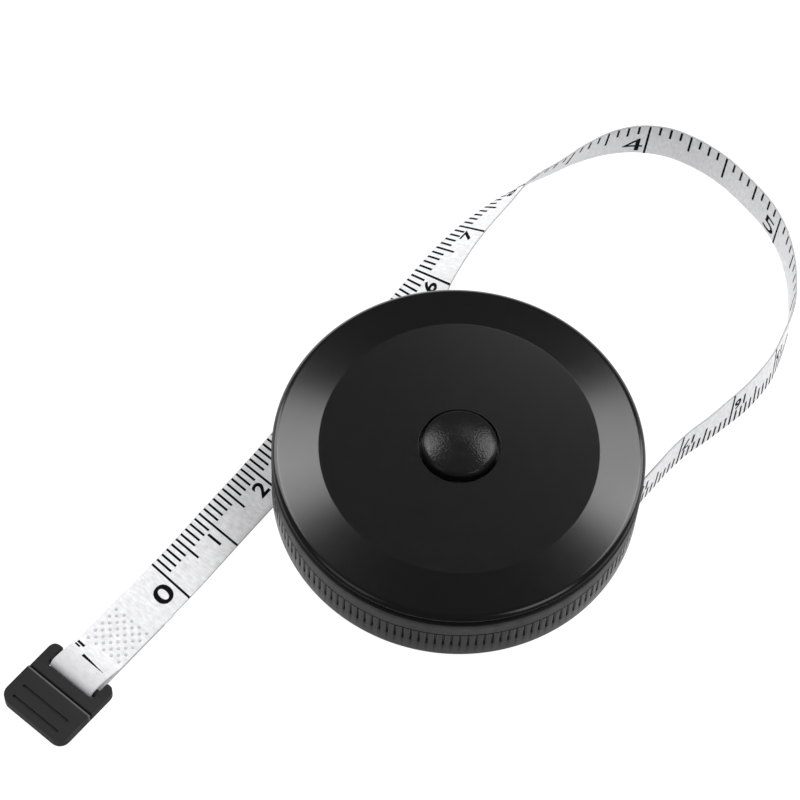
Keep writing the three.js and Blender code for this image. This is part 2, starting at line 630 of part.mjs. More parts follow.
// The tape's end, doubled back on itself round the tab's bar, in the tab's own axes:
// x from the bar towards the tape, y across, z up
function tapeHem() {
  const middle = TAB_BAR_HEIGHT;
  const innerRadius = TAB_BAR_RADIUS + HEM_BAR_CLEARANCE;
  const outerRadius = innerRadius + TAPE_THICKNESS;
  const bottom = middle - outerRadius;
  const doubled = bottom + 2 * TAPE_THICKNESS;
  const quarter = Math.PI / 2;
  const rise = HEM_RAMP / 3;
  const fall = (3 * HEM_RAMP) / 4;
  const outline = new THREE.Shape();
  outline.moveTo(HEM_LENGTH, bottom);
  outline.lineTo(HEM_LENGTH, doubled);
  outline.lineTo(HEM_RAMP, doubled);
  outline.bezierCurveTo(fall, doubled, rise, middle + outerRadius, 0, middle + outerRadius);
  outline.absarc(0, middle, outerRadius, quarter, 3 * quarter, false);
  const hole = new THREE.Path();
  const wedge = doubled - TAPE_THICKNESS;
  hole.moveTo(0, middle + innerRadius);
  hole.bezierCurveTo(rise, middle + innerRadius, fall, wedge, HEM_WEDGE_END, wedge);
  hole.lineTo(0, middle - innerRadius);
  hole.absarc(0, middle, innerRadius, 3 * quarter, quarter, true);
  outline.holes.push(hole);
  const strip = new THREE.ExtrudeGeometry(outline, {
    depth: TAPE_WIDTH,
    bevelEnabled: false,
    curveSegments: ARC_STEPS,
  });
  return strip.rotateX(Math.PI / 2).translate(0, TAPE_WIDTH / 2, 0);
}

// The tab, in the same axes as the hem: its plate lies on the side away from the tape
function pullTab() {
  const tapeEnd = TAB_BAR_FROM_END;
  const outerEnd = tapeEnd - TAB_LENGTH;
  const half = TAB_WIDTH / 2;
  const quarter = Math.PI / 2;
  const plan = new THREE.Shape();
  const corner = TAB_CORNER_RADIUS;
  plan.moveTo(tapeEnd, -half + corner);
  plan.absarc(tapeEnd - corner, half - corner, corner, 0, quarter, false);
  plan.absarc(outerEnd + corner, half - corner, corner, quarter, 2 * quarter, false);
  plan.absarc(outerEnd + corner, -half + corner, corner, 2 * quarter, 3 * quarter, false);
  plan.absarc(tapeEnd - corner, -half + corner, corner, 3 * quarter, 4 * quarter, false);
  const plate = new THREE.ExtrudeGeometry(plan, {
    depth: TAB_THICKNESS,
    bevelEnabled: false,
    curveSegments: ARC_STEPS,
  }).translate(0, 0, TAB_BOTTOM);

  const side = new THREE.Shape();
  const step = outerEnd + TAB_GRIP_LENGTH;
  const noseRadius = TAB_THICKNESS / 2;
  side.moveTo(outerEnd - CUT_OVERSHOOT, TAB_BOTTOM);
  side.lineTo(tapeEnd - noseRadius, TAB_BOTTOM);
  side.absarc(tapeEnd - noseRadius, TAB_BAR_HEIGHT, noseRadius, -quarter, quarter / 2, false);
  side.lineTo(step + TAB_STEP, TAB_TOP - TAB_STEP);
  side.lineTo(step, TAB_TOP);
  [...TAB_GROOVE_PLACES].reverse().forEach((place) => {
    const groove = outerEnd + place;
    side.lineTo(groove + TAB_GROOVE_WIDTH / 2, TAB_TOP);
    side.lineTo(groove, TAB_TOP - TAB_GROOVE_DEPTH);
    side.lineTo(groove - TAB_GROOVE_WIDTH / 2, TAB_TOP);
  });
  side.lineTo(outerEnd - CUT_OVERSHOOT, TAB_TOP);
  const profile = new THREE.ExtrudeGeometry(side, {
    depth: TAB_WIDTH + 2 * CUT_OVERSHOOT,
    bevelEnabled: false,
    curveSegments: ARC_STEPS,
  }).rotateX(quarter).translate(0, half + CUT_OVERSHOOT, 0);

  const openHalf = TAPE_WIDTH / 2 + TAB_SIDE_CLEARANCE;
  const window = box(
    [outerEnd + TAB_WINDOW_START, -openHalf, TAB_BOTTOM - CUT_OVERSHOOT],
    [tapeEnd + CUT_OVERSHOOT, openHalf, TAB_TOP + CUT_OVERSHOOT],
  );
  const barLength = 2 * openHalf + TAB_RAIL_WIDTH;
  const bar = new THREE.CylinderGeometry(TAB_BAR_RADIUS, TAB_BAR_RADIUS, barLength, BAR_SIDES)
    .translate(0, 0, TAB_BAR_HEIGHT);
  const frame = toSolid(plate).intersect(toSolid(profile)).subtract(toSolid(window));
  return toGeometry(frame.add(toSolid(bar)));
}

add('rear_case', rearCase(), SATIN_BLACK);
add('front_cover', frontCover(), GLOSS_BLACK);

add('push_button', pushButton(), GLOSS_BLACK);
add('brake_collar', brakeCollar(), GREY_NYLON);
add('brake_pad', ring(PAD_INNER_RADIUS, PAD_OUTER_RADIUS, PAD_BOTTOM, PAD_TOP, INNER_SEGMENTS), RUBBER);
add('button_spring', buttonSpring(), SPRING_STEEL);

add('arbor', arbor(), ZINC_STEEL);
add('arbor_screw', arborScrew(), ZINC_STEEL);
const washerInner = ARBOR_RADIUS + FIT_GAP;
const washerOuter = washerInner + WASHER_WIDTH;
add('thrust_washer', ring(washerInner, washerOuter, WASHER_BOTTOM, WASHER_TOP, INNER_SEGMENTS), GREY_NYLON);

add('spool_drum', spoolDrum(), GREY_NYLON);
add('spool_flange', spoolFlange(), GREY_NYLON);
const lid = ring(SPOOL_BORE_RADIUS, DRUM_SEAT_RADIUS, LID_BOTTOM, LID_TOP, INNER_SEGMENTS);
add('spring_lid', lid, GREY_NYLON);
add('mainspring', mainspring(), SPRING_STEEL);
add('tape_anchor_pin', anchorPin(), ZINC_STEEL);

add('tape_pack', ring(PACK_INNER_RADIUS, PACK_RADIUS, PACK_BOTTOM, PACK_TOP, SHELL_SEGMENTS), WHITE_TAPE);
const leadEnd = leadReach(CASE_RADIUS) + LEAD_PROTRUSION;
add('tape_lead', leadBox(0, leadEnd, TAPE_THICKNESS, PACK_BOTTOM, PACK_TOP), WHITE_TAPE);
add('free_tape', freeTape(), WHITE_TAPE);

const tabPlace = new THREE.Group();
tabPlace.position.set(TAB_BAR_PLACE[0], TAB_BAR_PLACE[1], 0);
tabPlace.rotation.z = TAB_DIRECTION;
group.add(tabPlace);
add('tape_hem', tapeHem(), WHITE_TAPE, tabPlace);
add('pull_tab', pullTab(), SATIN_BLACK, tabPlace);

export default group;
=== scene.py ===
"""The looks of a round push-button tape measure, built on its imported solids, in metres."""

import json
import math

import bmesh
import bpy
import numpy as np
from mathutils import Matrix, Vector


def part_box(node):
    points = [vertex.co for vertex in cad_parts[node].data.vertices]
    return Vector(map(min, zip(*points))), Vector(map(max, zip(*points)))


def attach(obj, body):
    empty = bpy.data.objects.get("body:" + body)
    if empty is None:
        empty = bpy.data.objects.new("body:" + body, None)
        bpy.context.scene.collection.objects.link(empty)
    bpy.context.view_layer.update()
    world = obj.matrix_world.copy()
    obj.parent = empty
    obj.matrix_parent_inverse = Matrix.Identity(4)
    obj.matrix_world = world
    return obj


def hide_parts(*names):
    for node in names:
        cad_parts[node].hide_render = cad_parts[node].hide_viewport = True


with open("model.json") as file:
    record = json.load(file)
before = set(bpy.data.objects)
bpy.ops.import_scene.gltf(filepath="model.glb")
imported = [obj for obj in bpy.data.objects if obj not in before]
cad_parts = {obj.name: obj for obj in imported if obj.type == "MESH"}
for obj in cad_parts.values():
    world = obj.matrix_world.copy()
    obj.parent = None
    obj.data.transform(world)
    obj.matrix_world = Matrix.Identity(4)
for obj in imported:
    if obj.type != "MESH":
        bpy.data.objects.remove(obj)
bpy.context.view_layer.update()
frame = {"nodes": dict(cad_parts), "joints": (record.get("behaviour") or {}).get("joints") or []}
MM = 0.001
UP = Vector((0, 0, 1))

# Camera, as fitted to the photograph
CAMERA_ELEVATION = math.radians(63)
CAMERA_ROLL = math.radians(6)
CAMERA_DISTANCE = 420 * MM
IMAGE_SIZE = 800
FOCAL_PIXELS = 3005.1
ORIGIN_PIXEL = (454.55, 493.3)
SENSOR_WIDTH = 36

# Case, cover and button, from the frame
case_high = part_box("rear_case")[1]
cover_low, cover_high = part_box("front_cover")
button_low, button_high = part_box("push_button")
CASE_RADIUS = case_high.x
RIM_TOP = case_high.z
COVER_TOP = cover_high.z
BUTTON_RADIUS = button_high.x
BUTTON_CROWN = button_high.z

CASE_WALL = 1.8 * MM
BACK_WALL = 1.4 * MM
BACK_FLAT_RADIUS = 15.5 * MM
BACK_FLAT_ROUND = 0.6 * MM
BACK_BEVEL_RISE = 1.6 * MM
BACK_BEVEL_ROUND = 0.9 * MM
FLOOR_FLAT_RADIUS = 19 * MM
FLOOR_RISE = 2.0 * MM
SCREW_RECESS_RADIUS = 2.6 * MM
SCREW_RECESS_DEPTH = 0.8 * MM
SCREW_HOLE_RADIUS = 1.05 * MM
RIB_COUNT = 144
RIB_DEPTH = 0.35 * MM
RIB_SHARPNESS = 8
RIB_BOTTOM = 4.9 * MM
RIB_TOP = 8.2 * MM
RIB_END = 0.25 * MM
RIB_RUNOUT = 0.5 * MM
RIB_RUNOUT_ROWS = 6
RIB_END_ROWS = 4
RIB_LINE_WIDTH = 0.24 * MM
RIB_LINE_DEPTH = 0.14 * MM
RIB_STEPS = 12
RIM_ROUND = 0.12 * MM
RIM_ROUGHER = 0.18
# Painted light in the shadow gap under the cover: the depth of the paler ring, and its colour
RIM_RING_DEPTH = 0.05 * MM
RIM_RING_PAINTED_LIGHT = (0.035, 0.035, 0.036)
SPLIT_LINE = 0.2 * MM
PLATEAU_RADIUS = 19.1 * MM
PLATEAU_ROUND = 1.0 * MM
COVER_BEVEL_DROP = 1.0 * MM
COVER_EDGE_TURN = 0.5 * MM
COVER_EDGE_DROP = 0.6 * MM
COVER_TURN_ROUND = 1.2 * MM
COVER_EDGE_ROUND = 0.05 * MM
COVER_UNDERCUT = 0.9 * MM
COVER_WALL = 1.4 * MM
SKIRT_WALL = 0.7 * MM
SKIRT_GAP = 0.2 * MM
BORE_CLEARANCE = 0.5 * MM
BORE_EDGE_ROUND = 0.04 * MM
BORE_DEPTH = 2.6 * MM
SLOT_WIDTH = 1.3 * MM
SLOT_CLEARANCE = 0.35 * MM
BUTTON_DOME_RISE = 0.65 * MM
BUTTON_EDGE_ROUND = 0.7 * MM
BUTTON_WALL = 1.15 * MM
BUTTON_ROOF = 1.6 * MM
BUTTON_DOME_STEPS = 24
SMALL_ROUND = 0.1 * MM
TURNED_SEGMENTS = 288

# Tape, from the frame
pack_low, pack_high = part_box("tape_pack")
joints = {joint["name"]: joint for joint in frame["joints"]}
lead_along = Vector(joints["tape_draw"]["axis"])
bar_place = Vector(joints["tab_swing"]["pos_m"])
tab_across = Vector(joints["tab_swing"]["axis"])
tab_along = tab_across.cross(UP)
TAPE_WIDTH = pack_high.z - pack_low.z
TAPE_THICKNESS = 0.25 * MM
WOUND_LENGTH = 1326 * MM
TURN_EDGE = ((0.04, 0.06 * MM), (0.3, 0), (0.7, 0), (0.96, 0.06 * MM))
PACK_INNER_RADIUS = math.sqrt(pack_high.x ** 2 - WOUND_LENGTH * TAPE_THICKNESS / math.pi)
LEAD_GAP = 0.1 * MM
LEAD_INSIDE = (2 * MM, 8 * MM)
STATION_STEP = 0.25 * MM
EDGE_LINE = 0.12 * MM
INCH_FACE_SHIFT = 10
FACE_BLEND = 0.1
INCH_FACE_TONE = 0.72
# Painted shade towards the hem's fold: how dark it gets, and where it starts and ends as distances from
# the bar
FOLD_SHADE = 0.3
FOLD_SHADE_START = 4.6 * MM
FOLD_SHADE_END = -0.4 * MM
ZERO_PLACE = Vector((-40.22, -15.86, 0)) * MM

# The tape's ticked edge from the slot to the hem, in millimetres: x, y, height above the
# table, and the tape's tilt in degrees from lying flat (0) to standing on that edge (90)
FREE_TAPE_ROUTE = [
    (25.88, 0.86, 2.4, 90),
    (27.45, 3.19, 2.4, 90),
    (29.13, 5.68, 2.4, 90),
    (31.6, 8.7, 2.4, 90),
    (33.95, 10.9, 2.4, 89),
    (36.75, 13.7, 2.4, 87),
    (39.85, 17.05, 2.4, 85),
    (42.75, 21.65, 2.4, 85),
    (44.3, 26.55, 2.4, 87),
    (45.0, 30.8, 2.4, 90),
    (45.0, 35.15, 2.4, 90),
    (44.4, 39.35, 2.4, 90),
    (42.95, 43.7, 2.4, 90),
    (40.65, 47.55, 2.35, 90),
    (37.7, 50.95, 2.1, 90),
    (34.35, 54.3, 1.75, 90),
    (30.4, 57.05, 1.3, 90),
    (26.15, 58.85, 0.9, 90),
    (21.75, 59.4, 0.5, 88),
    (17.4, 58.7, 0.2, 83.5),
    (13.0, 56.8, 0.05, 76.5),
    (8.8, 54.0, 0.05, 70.5),
    (4.5, 51.05, 0.05, 65.5),
    (0.6, 47.7, 0.05, 54),
    (-2.9, 44.0, 0.05, 46),
    (-6.1, 39.9, 0.05, 38),
    (-9.0, 35.4, 0.05, 28),
    (-11.6, 31.1, 0.05, 10),
    (-14.3, 26.6, 0.05, 2),
    (-18.9, 19.0, 0.05, 0),
    (-24.4, 9.9, 0.05, 0),
    (-29.8, 0.85, 0.05, 0),
    (-35.0, -7.4, 0.05, 0),
    (-39.5, -14.55, 0.05, 0),
    (-43.2, -20.05, 0.05, 0),
]

# The hem, measured from the tab's bar along the tape
HEM_LENGTH = 13.8 * MM
HEM_STEP = 1.6 * MM
HEM_LIFT = 0.02 * MM
HEM_RAMP = 5.3 * MM
HEM_KINK = 0.3
HEM_LEAVE = 0.75
HEM_ARRIVE = 1 / 3
FOLD_RADIUS = 0.75 * MM
TABLE_GAP = 0.05 * MM
HEM_STEP_COUNT = 9
HEM_FLAT_COUNT = 25
HEM_RAMP_COUNT = 32
HEM_FOLD_COUNT = 24
HEM_UNDER_COUNT = 39
HEM_TOP_COUNT = HEM_STEP_COUNT + HEM_FLAT_COUNT + HEM_RAMP_COUNT

# Print on the tape
INK_LIFT = 0.012 * MM
INK_SINK = 0.03 * MM
TICK_INSET = 0.14 * MM
LINE_INSET = 0.06 * MM
TICK_WIDTH = 0.34 * MM
LINE_WIDTH = 0.34 * MM
BAR_STEP = 0.6 * MM
SHORT_TICK = 0.38 * TAPE_WIDTH
HALF_CM_TICK = 0.59 * TAPE_WIDTH
INCH = 25.4 * MM
CM = 10 * MM
NUMBER_STEP = 0.3 * MM
CM_SKEW = 0.065
INCH_SKEW = 0.045
INCH_PARTS = 16
FONT_JOIN = 1e-5

# Numbers: how far before its line a number's middle stands, its height, its middle's distance
# from the edge with the centimetre ticks, its stretch along the tape and its weight
ZERO_STYLE = dict(before=2.1 * MM, height=2.9 * MM, centre=4.3 * MM, stretch=1.45, weight=0.02)
CM_STYLE = dict(before=1.5 * MM, height=2.35 * MM, centre=4.3 * MM, stretch=1.15, weight=0.025)
NARROW_CM_STYLE = {**CM_STYLE, "stretch": 0.85}
INCH_STYLE = dict(before=2.0 * MM, height=3.3 * MM, centre=2.35 * MM, stretch=1.35, weight=0.0)

# Lengths of the inch ticks as shares of the tape's width, by how many sixteenths they fall on
INCH_TICKS = {1: 0.29, 2: 0.34, 4: 0.53, 8: 0.72, INCH_PARTS: 1 - LINE_INSET / TAPE_WIDTH}

# Marks printed on the hem, in millimetres: distance from the bar, the ends across the tape, and
# the width at each end
HEM_MARKS = [
    (3.0, 2.4, 6.3, 0.5, 0.06),
    (4.1, 0.35, 1.6, 0.42, 0.42),
    (3.6, 0.35, 1.2, 0.3, 0.3),
]

# Embossed weld over the hem: its stretch along the tape from the bar, and its dots
WELD_START = 5.5 * MM
WELD_END = 11.2 * MM
WELD_HALF = 3.1 * MM
WELD_PITCH = 0.98 * MM
WELD_DOT = 0.26 * MM
WELD_HEIGHT = 0.05 * MM
WELD_SIDES = 8

# Pull tab, measured from its bar along the tape
TAB_END = 2.1 * MM
TAB_LENGTH = 10.93 * MM
TAB_RAIL = 1.45 * MM
TAB_SIDE_CLEARANCE = 0.4 * MM
TAB_THICKNESS = 2 * MM
TAB_CORNER = 1.6 * MM
TAB_END_CORNER = 0.8 * TAB_CORNER
TAB_MOUTH_ROUND = 0.15 * MM
TAB_WINDOW_ROUND = 0.3 * MM
TAB_UNDER_ROUND = 0.85 * MM
TAB_TIP_ROUND = 0.65 * MM
TAB_LEDGE_ROUND = 0.05 * MM
TAB_STEP_ROUND = 0.2 * MM
TAB_EDGE_ROUND = 0.25 * MM
TAB_WINDOW_START = 7.65 * MM
TAB_GRIP_LENGTH = 5.68 * MM
TAB_STEP = 0.45 * MM
TAB_BAR_RADIUS = 0.6 * MM
TAB_BAR_SIDES = 32
TAB_GROOVES = (1.2 * MM, 3.15 * MM)
TAB_GROOVE_HALF = 4.1 * MM
TAB_GROOVE_WIDTH = 0.4 * MM
TAB_GROOVE_ROUND = TAB_GROOVE_WIDTH / 2 * 0.99
TAB_GROOVE_DEPTH = 0.25 * MM
# Painted light at the tab's grip step: the width of its painted highlight and shade lines, and their
# colours
TAB_STEP_LINE_WIDTH = 0.12 * MM
TAB_STEP_SHADE_COLOR = (0.004, 0.004, 0.0041)
TAB_STEP_HIGHLIGHT_COLOR = (0.12, 0.12, 0.122)
ROUNDED_ANGLE = math.radians(50)
SHARP_ANGLE = math.radians(35)
LARGE_FACE_WEIGHT = 90
CUTTER_SPARE = 1 * MM

# Fineness of the materials' textures, in waves to a metre, and the looks of tape and ink
CLOUD_SCALE = 120
PATCH_SCALE = 420
FIBRE_SCALE = 2600
FIBRE_STRETCH = (1, 0.35, 1)
MOTTLE_SCALE = 900
WEAVE_SCALE = 3200
WEAVE_HEIGHT = 0.02 * MM
WEAVE_STRENGTH = 0.5
INK_WEAR_SCALE = 3500
STREAK_SCALE = 900
STREAK_STRETCH = (1, 12, 1)
STREAK_SMOOTHER = 0.08
STREAK_ROUGHER = 0.1
FIBRE_TONE = 0.6
MOTTLE_TONE = 0.75
COAT_ROUGHNESS = 0.6
COAT_SHINE = 0.25
COAT_DARK = (0.48, 0.48, 0.495)
COAT_MIDDLE = (0.7, 0.7, 0.705)
COAT_LIGHT = (0.96, 0.96, 0.975)
# Grey of the tape's edges: painted edge shade, together with the grey of the cut fibres
EDGE_SHADE_AND_FIBRE = (0.5, 0.5, 0.51)
INK_DARK = (0.004, 0.004, 0.0042)
INK_MIDDLE = (0.006, 0.006, 0.0062)
INK_LIGHT = (0.008, 0.008, 0.0084)
INK_ROUGHNESS = 0.8
INK_SHINE = 0.03

# Studio: round lights that face straight down, as name, x, y, width and power, then the floor,
# the panels at the sides and in front, and the sky
LIGHT_HEIGHT = 0.8
DOWN_LIGHTS = [
    ("right_glow", 0.4, 0.463, 0.44, 2.72),
    ("left_glow", -0.39, 0.376, 0.37, 1.96),
    ("sheen", 0.065, 0.57, 0.18, 0.17),
]
SIDE_PLACE = (0.95, 0.45)
SIDE_SIZE = (0.6, 1.2)
SIDE_POWER = 10
FRONT_PLACE = (0.85, -0.75)
FRONT_SIZE = (0.6, 0.6)
FRONT_LEFT_POWER = 1.0
FRONT_RIGHT_POWER = 2.6
FLOOR_REACH = 3.0
FLOOR_COLOR = (0.15, 0.15, 0.15)
FLOOR_ROUGHNESS = 0.9
FLOOR_GLOW = 0.98
SKY_GLOW = 0.13


def new_object(name, mesh):
    made = bpy.data.objects.new(name, mesh)
    bpy.context.scene.collection.objects.link(made)
    return made


def mesh_object(name, points, faces):
    mesh = bpy.data.meshes.new(name)
    mesh.from_pydata([tuple(point) for point in points], [], faces)
    mesh.validate()
    mesh.shade_smooth()
    return new_object(name, mesh)


def apply_modifiers(piece):
    """Turns a piece's modifiers into its mesh."""
    graph = bpy.context.evaluated_depsgraph_get()
    mesh = bpy.data.meshes.new_from_object(piece.evaluated_get(graph))
    piece.modifiers.clear()
    piece.data = mesh


def even_normals(piece):
    """Keeps large faces flat beside their rounded edges."""
    weighted = piece.modifiers.new("even normals", "WEIGHTED_NORMAL")
    weighted.keep_sharp = True
    weighted.weight = LARGE_FACE_WEIGHT


def finish_piece(piece, body, slot, material, *nodes):
    """A piece's material, the body it rides on and the solids it stands for."""
    piece.data.materials.clear()
    piece.data.materials.append(material)
    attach(piece, body)
    if nodes:
        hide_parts(*nodes)


# Materials


def new_material(name, color, roughness, metallic=0.0, shine=0.5):
    """A material, its node tree and the inputs of its shader."""
    made = bpy.data.materials.new(name)
    made.use_nodes = True
    tree = made.node_tree
    inputs = tree.nodes["Principled BSDF"].inputs
    inputs["Base Color"].default_value = (*color, 1)
    inputs["Roughness"].default_value = roughness
    inputs["Metallic"].default_value = metallic
    inputs["Specular IOR Level"].default_value = shine
    return made, tree, inputs


def add_node(tree, kind, **inputs):
    node = tree.nodes.new(kind)
    for name, value in inputs.items():
        node.inputs[name.replace("_", " ")].default_value = value
    return node


def stretched(tree, place, stretch):
    mapping = add_node(tree, "ShaderNodeMapping", Scale=stretch)
    tree.links.new(place, mapping.inputs["Vector"])
    return mapping.outputs["Vector"]


def object_place(tree, stretch=(1, 1, 1)):
    """A piece's own coordinates, in metres, stretched."""
    place = tree.nodes.new("ShaderNodeTexCoord")
    return stretched(tree, place.outputs["Object"], stretch)


def tape_place(tree, stretch=(1, 1, 1)):
    """Coordinates along and across the tape, in metres, stretched."""
    place = tree.nodes.new("ShaderNodeUVMap")
    place.uv_map = "tape"
    return stretched(tree, place.outputs["UV"], stretch)


def sides_of(tree, place):
    """Coordinates as three separate numbers."""
    sides = tree.nodes.new("ShaderNodeSeparateXYZ")
    tree.links.new(place, sides.inputs["Vector"])
    return sides.outputs


def noise(tree, place, scale, detail=3.0):
    node = add_node(tree, "ShaderNodeTexNoise", Scale=scale, Detail=detail)
    tree.links.new(place, node.inputs["Vector"])
    return node.outputs["Fac"]


def spread(tree, value, low, high, start=0.3, end=0.7):
    """A texture's value as a number from low to high."""
    node = add_node(tree, "ShaderNodeMapRange", From_Min=start, From_Max=end, To_Min=low, To_Max=high)
    tree.links.new(value, node.inputs["Value"])
    return node.outputs["Result"]


def between(tree, value, dark, light):
    """A texture's value as a colour from dark to light."""
    node = tree.nodes.new("ShaderNodeMix")
    node.data_type = "RGBA"
    color_inputs = [socket for socket in node.inputs if socket.type == "RGBA"]
    color_inputs[0].default_value = (*dark, 1)
    color_inputs[1].default_value = (*light, 1)
    tree.links.new(value, node.inputs["Factor"])
    return [socket for socket in node.outputs if socket.type == "RGBA"][0]


def laid_over(tree, factor, under, color):
    """A colour laid over an earlier one, by a factor."""
    made = between(tree, factor, color, color)
    color_inputs = [socket for socket in made.node.inputs if socket.type == "RGBA"]
    tree.links.new(under, color_inputs[0])
    return made


def worked_out(tree, operation, *values):
    """A number from one sum, whose values are sockets or plain numbers."""
    node = tree.nodes.new("ShaderNodeMath")
    node.operation = operation
    for socket, value in zip(node.inputs, values):
        if isinstance(value, bpy.types.NodeSocket):
            tree.links.new(value, socket)
        else:
            socket.default_value = value
    return node.outputs["Value"]


def bump(tree, height, distance, strength=1.0):
    node = add_node(tree, "ShaderNodeBump", Strength=strength, Distance=distance)
    tree.links.new(height, node.inputs["Height"])
    return node.outputs["Normal"]


def moulded_plastic(name, dark, light, smooth, rough, grain, grain_height, shine=0.5):
    """Moulded plastic with uneven gloss and a fine skin."""
    made, tree, inputs = new_material(name, light, rough, shine=shine)
    place = object_place(tree)
    cloud = noise(tree, place, CLOUD_SCALE)
    tree.links.new(between(tree, cloud, dark, light), inputs["Base Color"])
    patches = noise(tree, place, PATCH_SCALE, 5)
    tree.links.new(spread(tree, patches, smooth, rough), inputs["Roughness"])
    skin = noise(tree, place, grain, 2)
    tree.links.new(bump(tree, skin, grain_height), inputs["Normal"])
    return made


def coarser_rim(made):
    """Makes the band above the ribs rougher than the ribs, and paints light onto the ring in the shadow
    gap under the cover by making it paler.
    """
    tree = made.node_tree
    shader = tree.nodes["Principled BSDF"]
    roughness = shader.inputs["Roughness"]
    base = shader.inputs["Base Color"]
    height = sides_of(tree, object_place(tree))["Z"]
    extra = spread(tree, height, 0, RIM_ROUGHER, RIB_TOP, RIB_TOP + RIB_LINE_WIDTH)
    tree.links.new(worked_out(tree, "ADD", roughness.links[0].from_socket, extra), roughness)
    # Painted light: the ring in the shaded gap under the cover is made paler so that the gap does not
    # read black
    painted_light_ring = spread(tree, height, 0, 1, RIM_TOP - RIM_RING_DEPTH, RIM_TOP)
    tree.links.new(laid_over(tree, painted_light_ring, base.links[0].from_socket, RIM_RING_PAINTED_LIGHT), base)


def worn_step(made):
    """Paints a pale highlight line along the edge of the tab's grip, and a dark shade line just beyond
    it.
    """
    tree = made.node_tree
    base = tree.nodes["Principled BSDF"].inputs["Base Color"]
    along = tree.nodes.new("ShaderNodeVectorMath")
    along.operation = "DOT_PRODUCT"
    along.inputs[1].default_value = tab_along
    tree.links.new(object_place(tree), along.inputs[0])
    place = along.outputs["Value"]
    step = bar_place.dot(tab_along) + TAB_END - TAB_LENGTH + TAB_GRIP_LENGTH
    # Painted shade: a dark line just beyond the step, where its shadow falls
    shade_start = spread(tree, place, 0, 1, step, step + TAB_STEP_LINE_WIDTH)
    shade_end = spread(tree, place, 1, 0, step + 3 * TAB_STEP_LINE_WIDTH, step + 5 * TAB_STEP_LINE_WIDTH)
    dark = worked_out(tree, "MULTIPLY", shade_start, shade_end)
    shaded = laid_over(tree, dark, base.links[0].from_socket, TAB_STEP_SHADE_COLOR)
    # Painted highlight: a pale line along the step's rounded edge
    highlight_start = spread(tree, place, 0, 1, step - 2 * TAB_STEP_LINE_WIDTH, step - TAB_STEP_LINE_WIDTH)
    highlight_end = spread(tree, place, 1, 0, step, step + TAB_STEP_LINE_WIDTH)
    pale = worked_out(tree, "MULTIPLY", highlight_start, highlight_end)
    tree.links.new(laid_over(tree, pale, shaded, TAB_STEP_HIGHLIGHT_COLOR), base)


def woven_tape():
    """Coated white tape: fine threads across, a mottled coat, painted shade that darkens it towards
    the fold, and a grey line along each edge that is painted edge shade with the grey of its cut
    fibres."""
    made, tree, inputs = new_material("coated_tape", COAT_MIDDLE, COAT_ROUGHNESS, shine=COAT_SHINE)
    threads = noise(tree, tape_place(tree, FIBRE_STRETCH), FIBRE_SCALE, 4)
    patches = noise(tree, tape_place(tree), MOTTLE_SCALE, 5)
    fibres = spread(tree, threads, FIBRE_TONE, 1)
    mottle = spread(tree, patches, MOTTLE_TONE, 1)
    sides = sides_of(tree, tape_place(tree))
    switch = INCH_FACE_SHIFT / 2
    face = spread(tree, sides["X"], 1, INCH_FACE_TONE, switch - FACE_BLEND, switch + FACE_BLEND)
    # Painted shade: the coat darkens towards the fold, where the fold turns away from the lamps
    fold_shade_marks = (strip.hem_mark(FOLD_SHADE_END), strip.hem_mark(FOLD_SHADE_START))
    fold_shade = spread(tree, sides["X"], FOLD_SHADE, 1, *fold_shade_marks)
    tone = fibres
    for shade in (mottle, face, fold_shade):
        tone = worked_out(tree, "MULTIPLY", tone, shade)
    coat = between(tree, tone, COAT_DARK, COAT_LIGHT)
    half = TAPE_WIDTH / 2
    off_middle = worked_out(tree, "ABSOLUTE", worked_out(tree, "SUBTRACT", sides["Y"], half))
    # A grey line along each edge: painted shade of the edge's thickness, with the grey of its cut
    # fibres
    edge = spread(tree, off_middle, 0, 1, half - EDGE_LINE, half - EDGE_LINE / 2)
    tree.links.new(laid_over(tree, edge, coat, EDGE_SHADE_AND_FIBRE), inputs["Base Color"])
    weave = noise(tree, tape_place(tree), WEAVE_SCALE, 2)
    tree.links.new(bump(tree, weave, WEAVE_HEIGHT, WEAVE_STRENGTH), inputs["Normal"])
    return made


def printed_ink():
    made, tree, inputs = new_material("printed_ink", INK_MIDDLE, INK_ROUGHNESS, shine=INK_SHINE)
    wear = noise(tree, object_place(tree), INK_WEAR_SCALE, 4)
    tree.links.new(between(tree, wear, INK_DARK, INK_LIGHT), inputs["Base Color"])
    return made


def brushed_metal(name, dark, light, roughness):
    made, tree, inputs = new_material(name, light, roughness, metallic=1.0)
    streaks = noise(tree, object_place(tree, STREAK_STRETCH), STREAK_SCALE, 4)
    tree.links.new(between(tree, streaks, dark, light), inputs["Base Color"])
    gloss = spread(tree, streaks, roughness - STREAK_SMOOTHER, roughness + STREAK_ROUGHER)
    tree.links.new(gloss, inputs["Roughness"])
    return made


